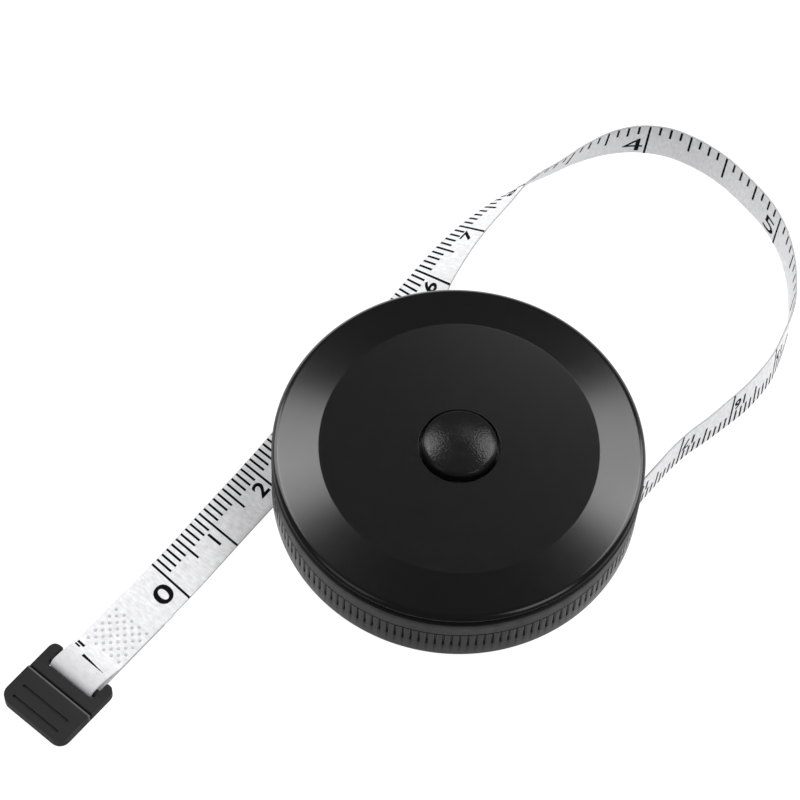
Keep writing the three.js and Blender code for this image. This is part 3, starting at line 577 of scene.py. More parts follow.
gloss_black = moulded_plastic(
    "gloss_black",
    dark=(0.003, 0.003, 0.0032),
    light=(0.0036, 0.0036, 0.0038),
    smooth=0.18,
    rough=0.195,
    grain=1800,
    grain_height=0.0004 * MM,
)
button_black = moulded_plastic(
    "button_black",
    dark=(0.008, 0.008, 0.0083),
    light=(0.011, 0.011, 0.0114),
    smooth=0.12,
    rough=0.24,
    grain=3600,
    grain_height=0.027 * MM,
    shine=0.22,
)
satin_black = moulded_plastic(
    "satin_black",
    dark=(0.007, 0.007, 0.0073),
    light=(0.012, 0.012, 0.0124),
    smooth=0.22,
    rough=0.32,
    grain=4600,
    grain_height=0.02 * MM,
    shine=0.06,
)
coarser_rim(satin_black)
tab_black = moulded_plastic(
    "tab_black",
    dark=(0.024, 0.024, 0.0246),
    light=(0.036, 0.036, 0.0367),
    smooth=0.42,
    rough=0.52,
    grain=5200,
    grain_height=0.01 * MM,
    shine=0.015,
)
worn_step(tab_black)
nylon_grey = moulded_plastic(
    "nylon_grey",
    dark=(0.42, 0.43, 0.4),
    light=(0.5, 0.51, 0.48),
    smooth=0.42,
    rough=0.55,
    grain=3000,
    grain_height=0.01 * MM,
)
dark_rubber = moulded_plastic(
    "dark_rubber",
    dark=(0.018, 0.016, 0.015),
    light=(0.03, 0.027, 0.025),
    smooth=0.7,
    rough=0.85,
    grain=4200,
    grain_height=0.03 * MM,
)
wound_white = moulded_plastic(
    "wound_white",
    dark=(0.7, 0.7, 0.71),
    light=(0.82, 0.825, 0.83),
    smooth=0.45,
    rough=0.55,
    grain=3000,
    grain_height=0.004 * MM,
)
# The weld dots' grey is painted shade, standing in for the shadows of the embossed dimples
weld_painted_shade = moulded_plastic(
    "weld_painted_shade",
    dark=(0.5, 0.5, 0.51),
    light=(0.64, 0.64, 0.65),
    smooth=0.45,
    rough=0.55,
    grain=3000,
    grain_height=0.004 * MM,
)
black_ink = printed_ink()
spring_steel = brushed_metal("spring_steel", (0.3, 0.31, 0.33), (0.5, 0.52, 0.54), 0.3)
zinc_steel = brushed_metal("zinc_steel", (0.45, 0.46, 0.47), (0.62, 0.63, 0.64), 0.34)


# Turned pieces


def rounded(corners, steps=6):
    """An outline from (radius, height, rounding) corners, with an arc at each rounded one."""
    outline = []
    for i, (radius, height, rounding) in enumerate(corners):
        here = Vector((radius, height))
        if rounding == 0:
            outline.append(here)
            continue
        to_last = (Vector(corners[i - 1][:2]) - here).normalized()
        to_next = (Vector(corners[(i + 1) % len(corners)][:2]) - here).normalized()
        half = to_last.angle(to_next) / 2
        centre = here + (to_last + to_next).normalized() * rounding / math.sin(half)
        first = here + to_last * rounding / math.tan(half) - centre
        last = here + to_next * rounding / math.tan(half) - centre
        for step in range(steps + 1):
            outline.append(centre + first.slerp(last, step / steps).normalized() * rounding)
    return outline


def turned(name, outline, segments, shape=None):
    """A closed piece of revolution; shape can change a point's radius by its height and angle."""
    points = []
    for place in outline:
        for step in range(segments):
            angle = 2 * math.pi * step / segments
            radius = shape(place.x, place.y, angle) if shape else place.x
            points.append((radius * math.cos(angle), radius * math.sin(angle), place.y))
    faces = []
    rows = len(outline)
    for row in range(rows):
        after = (row + 1) % rows
        for step in range(segments):
            beside = (step + 1) % segments
            faces.append((
                row * segments + step,
                row * segments + beside,
                after * segments + beside,
                after * segments + step,
            ))
    piece = mesh_object(name, points, faces)
    join_points(piece)
    return piece


def join_points(piece, distance=1e-7):
    """Joins points that lie on each other, and turns the faces out."""
    shape = bmesh.new()
    shape.from_mesh(piece.data)
    bmesh.ops.remove_doubles(shape, verts=shape.verts, dist=distance)
    bmesh.ops.recalc_face_normals(shape, faces=shape.faces)
    shape.to_mesh(piece.data)
    shape.free()


def smoothstep(low, high, value):
    share = min(1.0, max(0.0, (value - low) / (high - low)))
    return share * share * (3 - 2 * share)


def make_cover():
    inner = CASE_RADIUS - CASE_WALL
    bore = BUTTON_RADIUS + BORE_CLEARANCE
    bevel_slope = COVER_BEVEL_DROP / (CASE_RADIUS - PLATEAU_RADIUS)
    turn_height = COVER_TOP - COVER_BEVEL_DROP + bevel_slope * COVER_EDGE_TURN
    bottom = RIM_TOP + SPLIT_LINE
    ceiling = COVER_TOP - COVER_WALL
    skirt = inner - SKIRT_GAP
    outline = rounded([
        (bore, COVER_TOP - BORE_DEPTH, 0),
        (bore, COVER_TOP, BORE_EDGE_ROUND),
        (PLATEAU_RADIUS, COVER_TOP, PLATEAU_ROUND),
        (CASE_RADIUS - COVER_EDGE_TURN, turn_height, COVER_TURN_ROUND),
        (CASE_RADIUS, turn_height - COVER_EDGE_DROP, COVER_EDGE_ROUND),
        (CASE_RADIUS - COVER_UNDERCUT, bottom, SMALL_ROUND),
        (skirt, bottom, 0),
        (skirt, cover_low.z, SMALL_ROUND),
        (skirt - SKIRT_WALL, cover_low.z, SMALL_ROUND),
        (skirt - SKIRT_WALL, ceiling - COVER_BEVEL_DROP, 0),
        (PLATEAU_RADIUS, ceiling, 0),
        (bore + COVER_WALL, ceiling, 0),
        (bore + COVER_WALL, COVER_TOP - BORE_DEPTH, 0),
    ])
    piece = turned("cover_shell", outline, TURNED_SEGMENTS)
    even_normals(piece)
    finish_piece(piece, "case", "gloss_black", gloss_black, "front_cover")


def rib_radius(radius, height, angle):
    """The case's radius with its grip ribs, which run out at both ends."""
    if radius < CASE_RADIUS - RIB_DEPTH:
        return radius
    band = smoothstep(RIB_BOTTOM, RIB_BOTTOM + RIB_RUNOUT, height)
    band *= 1 - smoothstep(RIB_TOP - RIB_END, RIB_TOP, height)
    groove = (0.5 - 0.5 * math.cos(RIB_COUNT * angle)) ** RIB_SHARPNESS
    return radius - RIB_DEPTH * band * groove


def make_rear_case():
    inner = CASE_RADIUS - CASE_WALL
    rib_rows = [RIB_BOTTOM + RIB_RUNOUT * i / RIB_RUNOUT_ROWS for i in range(RIB_RUNOUT_ROWS + 1)]
    rib_rows += [RIB_TOP - RIB_END * i / RIB_END_ROWS for i in range(RIB_END_ROWS, -1, -1)]
    outline = rounded([
        (SCREW_RECESS_RADIUS, 0, SMALL_ROUND),
        (BACK_FLAT_RADIUS, 0, BACK_FLAT_ROUND),
        (CASE_RADIUS, BACK_BEVEL_RISE, BACK_BEVEL_ROUND),
        *[(CASE_RADIUS, height, 0) for height in rib_rows],
        (CASE_RADIUS - RIB_LINE_DEPTH, RIB_TOP + RIB_LINE_WIDTH / 2, 0),
        (CASE_RADIUS, RIB_TOP + RIB_LINE_WIDTH, 0),
        (CASE_RADIUS, RIM_TOP, RIM_ROUND),
        (inner, RIM_TOP, 0),
        (inner, FLOOR_RISE, 0),
        (FLOOR_FLAT_RADIUS, BACK_WALL, 0),
        (SCREW_HOLE_RADIUS, BACK_WALL, 0),
        (SCREW_HOLE_RADIUS, SCREW_RECESS_DEPTH, 0),
        (SCREW_RECESS_RADIUS, SCREW_RECESS_DEPTH, 0),
    ])
    piece = turned("ribbed_case", outline, RIB_COUNT * RIB_STEPS, rib_radius)
    cut_slot(piece)
    even_normals(piece)
    finish_piece(piece, "case", "satin_black", satin_black, "rear_case")


def lead_point(distance):
    """A point on the straight line that the tape leaves the wound pack on, at the table's height."""
    outward = lead_along.cross(UP)
    radius = pack_high.x + LEAD_GAP + TAPE_THICKNESS / 2
    return outward * radius + lead_along * distance


def lead_reach(radius):
    return math.sqrt(radius ** 2 - lead_point(0).length_squared)


def cut_slot(piece):
    """The upright slot that the tape comes out of."""
    start = lead_reach(CASE_RADIUS - CASE_WALL) - CASE_WALL
    end = lead_reach(CASE_RADIUS) + CASE_WALL
    height = TAPE_WIDTH + 2 * SLOT_CLEARANCE
    shape = bmesh.new()
    bmesh.ops.create_cube(shape, size=1)
    middle = lead_point((start + end) / 2) + UP * (pack_low.z + TAPE_WIDTH / 2)
    turn = Matrix.Rotation(math.atan2(lead_along.y, lead_along.x), 4, "Z")
    size = Matrix.Diagonal((end - start, SLOT_WIDTH, height, 1))
    shape.transform(Matrix.Translation(middle) @ turn @ size)
    mesh = bpy.data.meshes.new("slot_cutter")
    shape.to_mesh(mesh)
    shape.free()
    combine(piece, new_object("slot_cutter", mesh), "DIFFERENCE")


def make_button():
    shoulder = BUTTON_CROWN - BUTTON_DOME_RISE
    dome_radius = (BUTTON_RADIUS ** 2 + BUTTON_DOME_RISE ** 2) / (2 * BUTTON_DOME_RISE)
    dome_angle = math.asin(BUTTON_RADIUS / dome_radius)
    corners = []
    for i in range(BUTTON_DOME_STEPS):
        angle = dome_angle * i / BUTTON_DOME_STEPS
        radius = dome_radius * math.sin(angle)
        if radius > BUTTON_RADIUS - BUTTON_EDGE_ROUND:
            break
        corners.append((radius, BUTTON_CROWN - dome_radius * (1 - math.cos(angle)), 0))
    corners += [
        (BUTTON_RADIUS, shoulder, BUTTON_EDGE_ROUND),
        (BUTTON_RADIUS, button_low.z, 0),
        (BUTTON_RADIUS - BUTTON_WALL, button_low.z, 0),
        (BUTTON_RADIUS - BUTTON_WALL, BUTTON_CROWN - BUTTON_ROOF, 0),
        (0, BUTTON_CROWN - BUTTON_ROOF, 0),
    ]
    piece = turned("button_cap", rounded(corners), TURNED_SEGMENTS // 2)
    finish_piece(piece, "button", "gloss_black", button_black, "push_button")


# The tape as one strip, from inside the case to its end under the tab's hem


def smooth_line(points, step):
    """Points at even steps on a centripetal Catmull-Rom curve, with one value for each leg's share."""
    points = np.array(points, float)
    ends = np.vstack([2 * points[0] - points[1], points, 2 * points[-1] - points[-2]])
    line = []
    for i in range(1, len(ends) - 2):
        before, start, end, after = ends[i - 1:i + 3]
        first, second, third = (
            np.linalg.norm(b[:3] - a[:3]) ** 0.5
            for a, b in ((before, start), (start, end), (end, after))
        )
        leave = (start - before) / first - (end - before) / (first + second) + (end - start) / second
        arrive = (end - start) / second - (after - start) / (second + third) + (after - end) / third
        leave, arrive = leave * second, arrive * second
        count = max(2, round(np.linalg.norm(end[:3] - start[:3]) / step))
        for share in np.arange(count) / count:
            rest = 1 - share
            line.append(
                start * (1 + 2 * share) * rest ** 2
                + leave * share * rest ** 2
                + end * share ** 2 * (3 - 2 * share)
                - arrive * share ** 2 * rest
            )
    line.append(points[-1])
    return np.array(line)


def route_stations():
    """The ticked edge on the inch face, and the direction across, from the case to the hem."""
    inward = UP.cross(lead_along) * TAPE_THICKNESS / 2
    start = [lead_point(distance) + inward for distance in LEAD_INSIDE]
    points = [(place.x, place.y, pack_low.z, math.radians(90)) for place in start]
    for x, y, height, tilt in FREE_TAPE_ROUTE:
        points.append((x * MM, y * MM, height * MM, math.radians(tilt)))
    line = smooth_line(points, STATION_STEP)
    places = line[:, :3]
    heading = np.gradient(places, axis=0)
    heading[:, 2] = 0
    heading /= np.linalg.norm(heading, axis=1)[:, None]
    tilt = np.clip(line[:, 3], 0, math.radians(90))
    inward = np.stack([-heading[:, 1], heading[:, 0], np.zeros(len(line))], 1)
    across = inward * np.cos(tilt)[:, None]
    across[:, 2] = np.sin(tilt)
    return places, across


def hem_outline():
    """The inch face's line in the hem, as distances from the bar and heights: over the tape's
    own end, up and round the bar, and back under."""
    bottom = TABLE_GAP + TAPE_THICKNESS
    top = bottom + HEM_LIFT
    line = []
    for share in np.linspace(0, 1, HEM_STEP_COUNT):
        height = TABLE_GAP + (top - TABLE_GAP) * smoothstep(0, 1, share)
        line.append((HEM_LENGTH + HEM_STEP * (1 - share), height))
    for share in np.linspace(0, 1, HEM_FLAT_COUNT + 1)[1:]:
        line.append((HEM_LENGTH + (HEM_RAMP - HEM_LENGTH) * share, top))
    crown = bar_place.z + FOLD_RADIUS
    for share in np.linspace(0, 1, HEM_RAMP_COUNT + 1)[1:]:
        rest = 1 - share
        leave = 3 * share * rest ** 2
        arrive = 3 * share ** 2 * rest
        along = HEM_RAMP * (rest ** 3 + HEM_LEAVE * leave + HEM_ARRIVE * arrive)
        climb = HEM_KINK * leave + arrive + share ** 3
        line.append((along, top + (crown - top) * climb))
    for angle in np.linspace(0, math.pi, HEM_FOLD_COUNT + 1)[1:]:
        line.append((-FOLD_RADIUS * math.sin(angle), bar_place.z + FOLD_RADIUS * math.cos(angle)))
    for share in np.linspace(0, 1, HEM_UNDER_COUNT + 1)[1:]:
        line.append((HEM_LENGTH * share, bottom))
    return line


def hem_stations():
    corner = Vector((bar_place.x, bar_place.y, 0)) + tab_across * TAPE_WIDTH / 2
    places = [corner + tab_along * along + UP * height for along, height in hem_outline()]
    across = [-tab_across for place in places]
    return np.array(places), np.array(across)


class Strip:
    """The tape's surface: places by distance from the zero mark, and from the ticked edge."""

    def __init__(self):
        route, route_across = route_stations()
        hem, hem_across = hem_stations()
        from_bar = np.linalg.norm(route[:, :2] - np.array(bar_place)[:2], axis=1)
        hem_start = np.linalg.norm(hem[0, :2] - np.array(bar_place)[:2])
        halfway = len(route) // 2
        on_route = np.ones(len(route), bool)
        on_route[halfway:] = from_bar[halfway:] > hem_start + STATION_STEP
        self.route_count = int(on_route.sum())
        self.places = np.vstack([route[on_route], hem])
        self.across = np.vstack([route_across[on_route], hem_across])
        along = np.gradient(self.places, axis=0)
        along /= np.linalg.norm(along, axis=1)[:, None]
        self.normals = np.cross(along, self.across)
        self.normals /= np.linalg.norm(self.normals, axis=1)[:, None]
        steps = np.linalg.norm(np.diff(self.places, axis=0), axis=1)
        travelled = np.concatenate([[0], np.cumsum(steps)])
        zero = np.argmin(np.linalg.norm(self.places[:, :2] - np.array(ZERO_PLACE)[:2], axis=1))
        self.marks = travelled[zero] - travelled

    def at(self, marks, widths, heights, cm_face=True):
        """Points over one face of the tape, by mark, distance from the ticked edge and height."""
        tables = []
        for table in (self.places, self.across, self.normals):
            columns = [np.interp(marks, self.marks[::-1], table[::-1, i]) for i in range(3)]
            tables.append(np.stack(columns, 1))
        places, across, normals = tables
        rise = TAPE_THICKNESS + heights if cm_face else -heights
        return places + across * widths[:, None] + normals * rise[:, None]

    def hem_mark(self, distance):
        """The mark of the hem's upper layer at a distance from the bar."""
        first = self.route_count
        last = first + HEM_TOP_COUNT
        corner = np.array(bar_place + tab_across * TAPE_WIDTH / 2)
        along = (self.places[first:last] - corner) @ np.array(tab_along)
        return float(np.interp(distance, along[::-1], self.marks[first:last][::-1]))


strip = Strip()
white_tape = woven_tape()


def tape_section(edge_steps=4, across_steps=10):
    """The tape's section: distances from the ticked edge and from the inch face, with round edges."""
    half = TAPE_THICKNESS / 2
    section = []
    for i in range(across_steps + 1):
        section.append((half + (TAPE_WIDTH - TAPE_THICKNESS) * i / across_steps, TAPE_THICKNESS))
    for i in range(1, edge_steps):
        angle = math.pi * i / edge_steps
        section.append((TAPE_WIDTH - half + half * math.sin(angle), half + half * math.cos(angle)))
    for i in range(across_steps, -1, -1):
        section.append((half + (TAPE_WIDTH - TAPE_THICKNESS) * i / across_steps, 0))
    for i in range(1, edge_steps):
        angle = math.pi * i / edge_steps
        section.append((half - half * math.sin(angle), half - half * math.cos(angle)))
    return section


def make_tape():
    section = tape_section()
    count = len(section)
    points = []
    for place, across, normal in zip(strip.places, strip.across, strip.normals):
        for width, height in section:
            points.append(place + across * width + normal * height)
    rows = len(strip.places)
    faces = []
    for row in range(rows - 1):
        for i in range(count):
            beside = (i + 1) % count
            here = row * count
            after = here + count
            faces.append((here + i, here + beside, after + beside, after + i))
    faces.append(tuple(range(count)))
    faces.append(tuple(range((rows - 1) * count, rows * count)))
    piece = mesh_object("tape_strip", points, faces)
    layer = piece.data.uv_layers.new(name="tape")
    for loop in piece.data.loops:
        row, i = divmod(loop.vertex_index, count)
        width, height = section[i]
        shift = INCH_FACE_SHIFT if height < TAPE_THICKNESS / 2 else 0
        layer.data[loop.index].uv = (strip.marks[row] + shift, width)
    join_points(piece, 0)
    finish_piece(piece, "tape", "tape_white", white_tape, "free_tape", "tape_hem", "tape_lead")
    return piece


class Ink:
    """Print on one face of the tape, gathered into one piece."""

    def __init__(self, cm_face):
        self.cm_face = cm_face
        self.points = []
        self.faces = []

    def add(self, marks, widths, heights, faces):
        first = len(self.points)
        skew = CM_SKEW * widths if self.cm_face else INCH_SKEW * (TAPE_WIDTH - widths)
        self.points.extend(strip.at(marks - skew, widths, heights, self.cm_face))
        self.faces.extend(tuple(first + i for i in face) for face in faces)

    def bar(self, mark, near, far, thickness, end_thickness=None):
        """A stroke across the tape, in short steps that follow its twist."""
        last = thickness if end_thickness is None else end_thickness
        count = math.ceil((far - near) / BAR_STEP)
        shares = np.repeat(np.linspace(0, 1, count + 1), 4)
        reach = (thickness + (last - thickness) * shares) / 2
        sides = np.array([-1, 1, 1, -1] * (count + 1))
        heights = np.array([-INK_SINK, -INK_SINK, INK_LIFT, INK_LIFT] * (count + 1))
        faces = [(3, 2, 1, 0), tuple(range(4 * count, 4 * count + 4))]
        for row in range(0, 4 * count, 4):
            for i in range(4):
                j = (i + 1) % 4
                faces.append((row + i, row + j, row + 4 + j, row + 4 + i))
        self.add(mark + sides * reach, near + (far - near) * shares, heights, faces)

    def number(self, text, line, before, height, centre, stretch, weight):
        """A number with its middle before its line, and with its top towards the ticks."""
        points, faces = number_shape(text, height, stretch, weight)
        marks = line - before + points[:, 0]
        upward = -1 if self.cm_face else 1
        self.add(marks, centre + upward * points[:, 1], points[:, 2], faces)

    def finish(self, name):
        piece = mesh_object(name, self.points, self.faces)
        join_points(piece, 0)
        piece.data.shade_flat()
        finish_piece(piece, "tape", "tape_white", black_ink)
        return piece


def number_shape(text, height, stretch, weight):
    """A number as a thin solid round its middle, with points at short steps along it."""
    curve = bpy.data.curves.new("number", "FONT")
    curve.body = text
    curve.offset = weight
    curve.extrude = 1
    curve.resolution_u = 4
    holder = new_object("number", curve)
    graph = bpy.context.evaluated_depsgraph_get()
    mesh = bpy.data.meshes.new_from_object(holder.evaluated_get(graph))
    bpy.data.objects.remove(holder)
    shape = bmesh.new()
    shape.from_mesh(mesh)
    bmesh.ops.remove_doubles(shape, verts=shape.verts, dist=FONT_JOIN)
    places = np.array([vert.co for vert in shape.verts])
    low, high = places.min(0), places.max(0)
    middle = (low + high) / 2
    scale = height / (high[1] - low[1])
    for vert in shape.verts:
        rise = INK_LIFT if vert.co.z > 0 else -INK_SINK
        x = (vert.co.x - middle[0]) * scale * stretch
        vert.co = (x, (vert.co.y - middle[1]) * scale, rise)
    bmesh.ops.triangulate(shape, faces=shape.faces)
    half = (high[0] - low[0]) / 2 * scale * stretch
    for cut in np.arange(-half + NUMBER_STEP, half, NUMBER_STEP):
        everything = [*shape.verts, *shape.edges, *shape.faces]
        bmesh.ops.bisect_plane(shape, geom=everything, plane_co=(cut, 0, 0), plane_no=(1, 0, 0))
    shape.verts.index_update()
    points = np.array([vert.co for vert in shape.verts])
    faces = [tuple(vert.index for vert in face.verts) for face in shape.faces]
    shape.free()
    return points, faces


def print_centimetres():
    ink = Ink(True)
    last = int(strip.marks[0] / MM) - 1
    for millimetre in range(last + 1):
        mark = millimetre * MM
        if millimetre % 10 == 0:
            ink.bar(mark, LINE_INSET, TAPE_WIDTH - LINE_INSET, LINE_WIDTH)
        elif millimetre % 5 == 0:
            ink.bar(mark, TICK_INSET, HALF_CM_TICK, TICK_WIDTH)
        else:
            ink.bar(mark, TICK_INSET, SHORT_TICK, TICK_WIDTH)
    ink.number("0", 0, **ZERO_STYLE)
    for centimetre in range(1, last // 10 + 1):
        style = CM_STYLE if 1 < centimetre < 10 else NARROW_CM_STYLE
        ink.number(str(centimetre), centimetre * CM, **style)
    for place, near, far, width, end_width in HEM_MARKS:
        ink.bar(strip.hem_mark(place * MM), near * MM, far * MM, width * MM, end_width * MM)
    return ink.finish("centimetre_print")


def print_inches():
    ink = Ink(False)
    sixteenth = INCH / INCH_PARTS
    edge = TAPE_WIDTH - TICK_INSET
    for count in range(int((strip.marks[0] - MM) / sixteenth) + 1):
        longest = max(step for step in INCH_TICKS if count % step == 0)
        width = LINE_WIDTH if longest == INCH_PARTS else TICK_WIDTH
        ink.bar(count * sixteenth, TAPE_WIDTH * (1 - INCH_TICKS[longest]), edge, width)
    for inch in range(1, int(strip.marks[0] / INCH) + 1):
        ink.number(str(inch), inch * INCH, **INCH_STYLE)
    return ink.finish("inch_print")


def make_weld():
    """Rows of small raised dots where the hem is welded, set cornerwise to the tape, coloured grey as
    painted shade of the embossing.
    """
    rings = ((WELD_DOT, -INK_SINK), (WELD_DOT, 0), (WELD_DOT / 2, WELD_HEIGHT))
    half_length = (WELD_END - WELD_START) / 2
    middle = (WELD_START + WELD_END) / 2
    top = TABLE_GAP + 2 * TAPE_THICKNESS + HEM_LIFT
    reach = math.ceil((half_length + WELD_HALF) / WELD_PITCH)
    points = []
    faces = []
    for row in range(-reach, reach + 1):
        for column in range(-reach, reach + 1):
            along = (row + column) * WELD_PITCH * math.sqrt(0.5)
            side = (row - column) * WELD_PITCH * math.sqrt(0.5)
            if abs(along) > half_length or abs(side) > WELD_HALF:
                continue
            centre = Vector((bar_place.x, bar_place.y, top))
            centre += tab_along * (middle + along) + tab_across * side
            first = len(points)
            for size, height in rings:
                for turn in range(WELD_SIDES):
                    angle = 2 * math.pi * turn / WELD_SIDES
                    offset = (size * math.cos(angle), size * math.sin(angle), height)
                    points.append(centre + Vector(offset))
            last = len(points) - WELD_SIDES
            for here in range(first, last, WELD_SIDES):
                above = here + WELD_SIDES
                for turn in range(WELD_SIDES):
                    beside = (turn + 1) % WELD_SIDES
                    faces.append((here + turn, here + beside, above + beside, above + turn))
            faces.append(tuple(first + turn for turn in reversed(range(WELD_SIDES))))
            faces.append(tuple(last + turn for turn in range(WELD_SIDES)))
    piece = mesh_object("hem_weld", points, faces)
    finish_piece(piece, "tape", "tape_white", weld_painted_shade)
    return piece


def prism(name, outline, low, high, axis):
    """A prism of an outline: up from low to high for axis z, or across for axis y."""
    points = []
    for level in (low, high):
        for place in outline:
            points.append((place.x, place.y, level) if axis == "z" else (place.x, level, place.y))
    count = len(outline)
    faces = [tuple(range(count)), tuple(range(count, 2 * count))]
    for i in range(count):
        j = (i + 1) % count
        faces.append((i, j, count + j, count + i))
    piece = mesh_object(name, points, faces)
    join_points(piece, 0)
    return piece


def combine(piece, tool, operation):
    change = piece.modifiers.new(operation, "BOOLEAN")
    change.operation = operation
    change.object = tool
    bpy.context.view_layer.update()
    apply_modifiers(piece)
    bpy.data.objects.remove(tool)


def round_edges(piece, width, angle, segments=3):
    bevel = piece.modifiers.new("round edges", "BEVEL")
    bevel.width = width
    bevel.segments = segments
    bevel.limit_method = "ANGLE"
    bevel.angle_limit = angle
    bpy.context.view_layer.update()
    apply_modifiers(piece)


def make_tab():
    """The pull tab in its own axes: x from the bar towards the tape, y to the ticked edge."""
    outer = TAB_END - TAB_LENGTH
    opening = TAPE_WIDTH / 2 + TAB_SIDE_CLEARANCE
    half = opening + TAB_RAIL
    window = outer + TAB_WINDOW_START
    bottom = TABLE_GAP
    top = bottom + TAB_THICKNESS
    plan = rounded([
        (outer, half, TAB_CORNER),
        (outer, -half, TAB_CORNER),
        (TAB_END, -half, TAB_END_CORNER),
        (TAB_END, -opening, TAB_MOUTH_ROUND),
        (window, -opening, TAB_WINDOW_ROUND),
        (window, opening, TAB_WINDOW_ROUND),
        (TAB_END, opening, TAB_MOUTH_ROUND),
        (TAB_END, half, TAB_END_CORNER),
    ])
    piece = prism("pull_tab_grip", plan, bottom, top, "z")
    step = outer + TAB_GRIP_LENGTH
    beyond = half + CUTTER_SPARE
    side = rounded([
        (outer - CUTTER_SPARE, bottom, 0),
        (TAB_END, bottom, TAB_UNDER_ROUND),
        (TAB_END, top - TAB_STEP, TAB_TIP_ROUND),
        (step + TAB_STEP / 2, top - TAB_STEP, TAB_LEDGE_ROUND),
        (step, top, TAB_STEP_ROUND),
        (outer - CUTTER_SPARE, top, 0),
    ])
    combine(piece, prism("tab_side", side, -beyond, beyond, "y"), "INTERSECT")
    round_edges(piece, TAB_EDGE_ROUND, ROUNDED_ANGLE)
    for place in TAB_GROOVES:
        middle = outer + place
        reach = TAB_GROOVE_WIDTH / 2
        groove = rounded([
            (middle - reach, TAB_GROOVE_HALF, TAB_GROOVE_ROUND),
            (middle - reach, -TAB_GROOVE_HALF, TAB_GROOVE_ROUND),
            (middle + reach, -TAB_GROOVE_HALF, TAB_GROOVE_ROUND),
            (middle + reach, TAB_GROOVE_HALF, TAB_GROOVE_ROUND),
        ])
        cutter = prism("grip_groove", groove, top - TAB_GROOVE_DEPTH, top + CUTTER_SPARE, "z")
        combine(piece, cutter, "DIFFERENCE")
    round_bar = []
    for i in range(TAB_BAR_SIDES):
        angle = 2 * math.pi * i / TAB_BAR_SIDES
        height = bar_place.z + TAB_BAR_RADIUS * math.sin(angle)
        round_bar.append(Vector((TAB_BAR_RADIUS * math.cos(angle), height)))
    bar = prism("tab_bar", round_bar, -opening - TAB_RAIL / 2, opening + TAB_RAIL / 2, "y")
    combine(piece, bar, "UNION")
    turn = Matrix((tab_along, tab_across, UP)).transposed().to_4x4()
    piece.data.transform(Matrix.Translation((bar_place.x, bar_place.y, 0)) @ turn)
    piece.data.shade_smooth()
    piece.data.set_sharp_from_angle(angle=SHARP_ANGLE)
    even_normals(piece)
    finish_piece(piece, "tab", "satin_black", tab_black, "pull_tab")
    return piece


def make_wound_tape():
    """The wound tape, with a rounded edge for each turn."""
    inner = PACK_INNER_RADIUS
    turns = round((pack_high.x - inner) / TAPE_THICKNESS)
    thick = (pack_high.x - inner) / turns
    upper = []
    lower = []
    for turn in range(turns):
        start = inner + turn * thick
        for share, drop in TURN_EDGE:
            upper.append(Vector((start + share * thick, pack_high.z - drop)))
            lower.append(Vector((start + share * thick, pack_low.z + drop)))
    piece = turned("wound_tape", upper + lower[::-1], TURNED_SEGMENTS // 2)
    finish_piece(piece, "spool", "tape_white", wound_white, "tape_pack")


def make_camera():
    back = Vector((0, -math.cos(CAMERA_ELEVATION), math.sin(CAMERA_ELEVATION)))
    upright = Vector((0, math.sin(CAMERA_ELEVATION), math.cos(CAMERA_ELEVATION)))
    level = Vector((1, 0, 0))
    right = level * math.cos(CAMERA_ROLL) + upright * math.sin(CAMERA_ROLL)
    above = upright * math.cos(CAMERA_ROLL) - level * math.sin(CAMERA_ROLL)
    data = bpy.data.cameras.new("camera")
    data.sensor_width = SENSOR_WIDTH
    data.lens = FOCAL_PIXELS / IMAGE_SIZE * SENSOR_WIDTH
    data.shift_x = 0.5 - ORIGIN_PIXEL[0] / IMAGE_SIZE
    data.shift_y = ORIGIN_PIXEL[1] / IMAGE_SIZE - 0.5
    camera = new_object("camera", data)
    turn = Matrix((right, above, back)).transposed().to_4x4()
    camera.matrix_world = Matrix.Translation(back * CAMERA_DISTANCE) @ turn
    bpy.context.scene.camera = camera


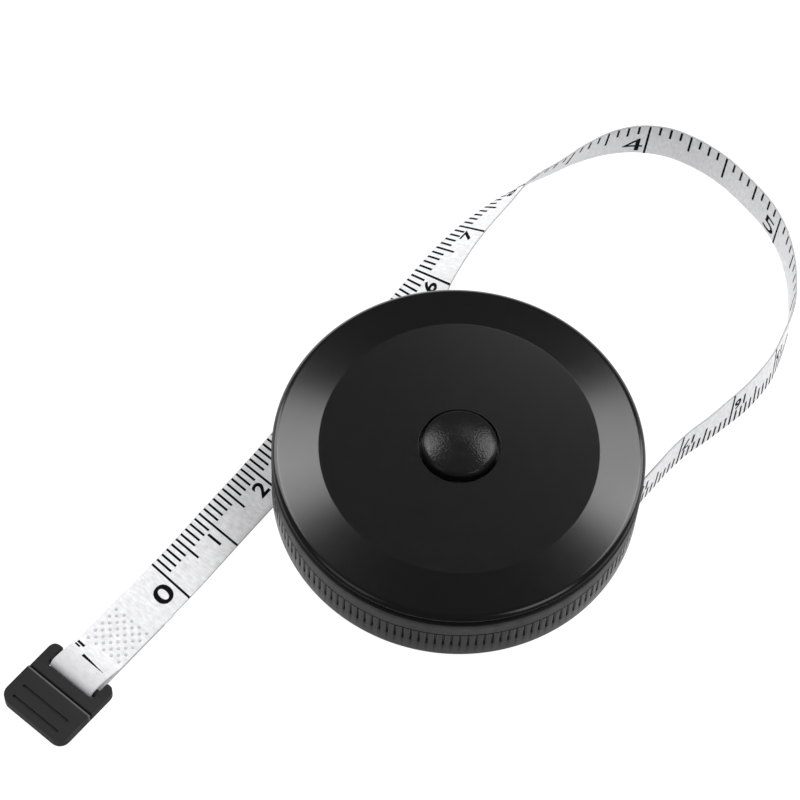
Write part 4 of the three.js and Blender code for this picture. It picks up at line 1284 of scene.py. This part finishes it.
def add_panel(name, shape, place, target, size, power):
    """A soft light, a rectangle or an ellipse, that faces a target."""
    data = bpy.data.lights.new(name, "AREA")
    data.shape = shape
    data.size, data.size_y = size
    data.energy = power
    panel = new_object(name, data)
    aim = (Vector(target) - Vector(place)).to_track_quat("-Z", "Y").to_matrix().to_4x4()
    panel.matrix_world = Matrix.Translation(Vector(place)) @ aim


def make_stage():
    corners = [(x * FLOOR_REACH, y * FLOOR_REACH, 0) for x, y in ((-1, -1), (1, -1), (1, 1), (-1, 1))]
    floor = mesh_object("floor", corners, [(0, 1, 2, 3)])
    pale, tree, inputs = new_material("pale_floor", FLOOR_COLOR, FLOOR_ROUGHNESS)
    inputs["Emission Color"].default_value = (1, 1, 1, 1)
    inputs["Emission Strength"].default_value = FLOOR_GLOW
    floor.data.materials.append(pale)
    for name, x, y, width, power in DOWN_LIGHTS:
        add_panel(name, "ELLIPSE", (x, y, LIGHT_HEIGHT), (x, y, 0), (width, width), power)
    for side, front_power in ((-1, FRONT_LEFT_POWER), (1, FRONT_RIGHT_POWER)):
        x, y = SIDE_PLACE
        add_panel("side", "RECTANGLE", (side * x, y, LIGHT_HEIGHT), (0, 0, 0), SIDE_SIZE, SIDE_POWER)
        x, y = FRONT_PLACE
        add_panel("front", "RECTANGLE", (side * x, y, LIGHT_HEIGHT), (0, 0, 0), FRONT_SIZE, front_power)
    world = bpy.data.worlds.new("studio")
    world.use_nodes = True
    background = world.node_tree.nodes["Background"]
    background.inputs["Color"].default_value = (1, 1, 1, 1)
    background.inputs["Strength"].default_value = SKY_GLOW
    bpy.context.scene.world = world
    bpy.context.scene.view_settings.view_transform = "Standard"


make_camera()
make_stage()
tape = make_tape()
prints = [print_centimetres(), print_inches(), make_weld()]
tab = make_tab()
make_cover()
make_rear_case()
make_button()
make_wound_tape()

INNER_LOOKS = {
    "arbor": zinc_steel,
    "arbor_screw": zinc_steel,
    "tape_anchor_pin": zinc_steel,
    "mainspring": spring_steel,
    "button_spring": spring_steel,
    "brake_pad": dark_rubber,
    "brake_collar": nylon_grey,
    "thrust_washer": nylon_grey,
    "spool_drum": nylon_grey,
    "spool_flange": nylon_grey,
    "spring_lid": nylon_grey,
}
for node, look in INNER_LOOKS.items():
    frame["nodes"][node].data.materials.clear()
    frame["nodes"][node].data.materials.append(look)
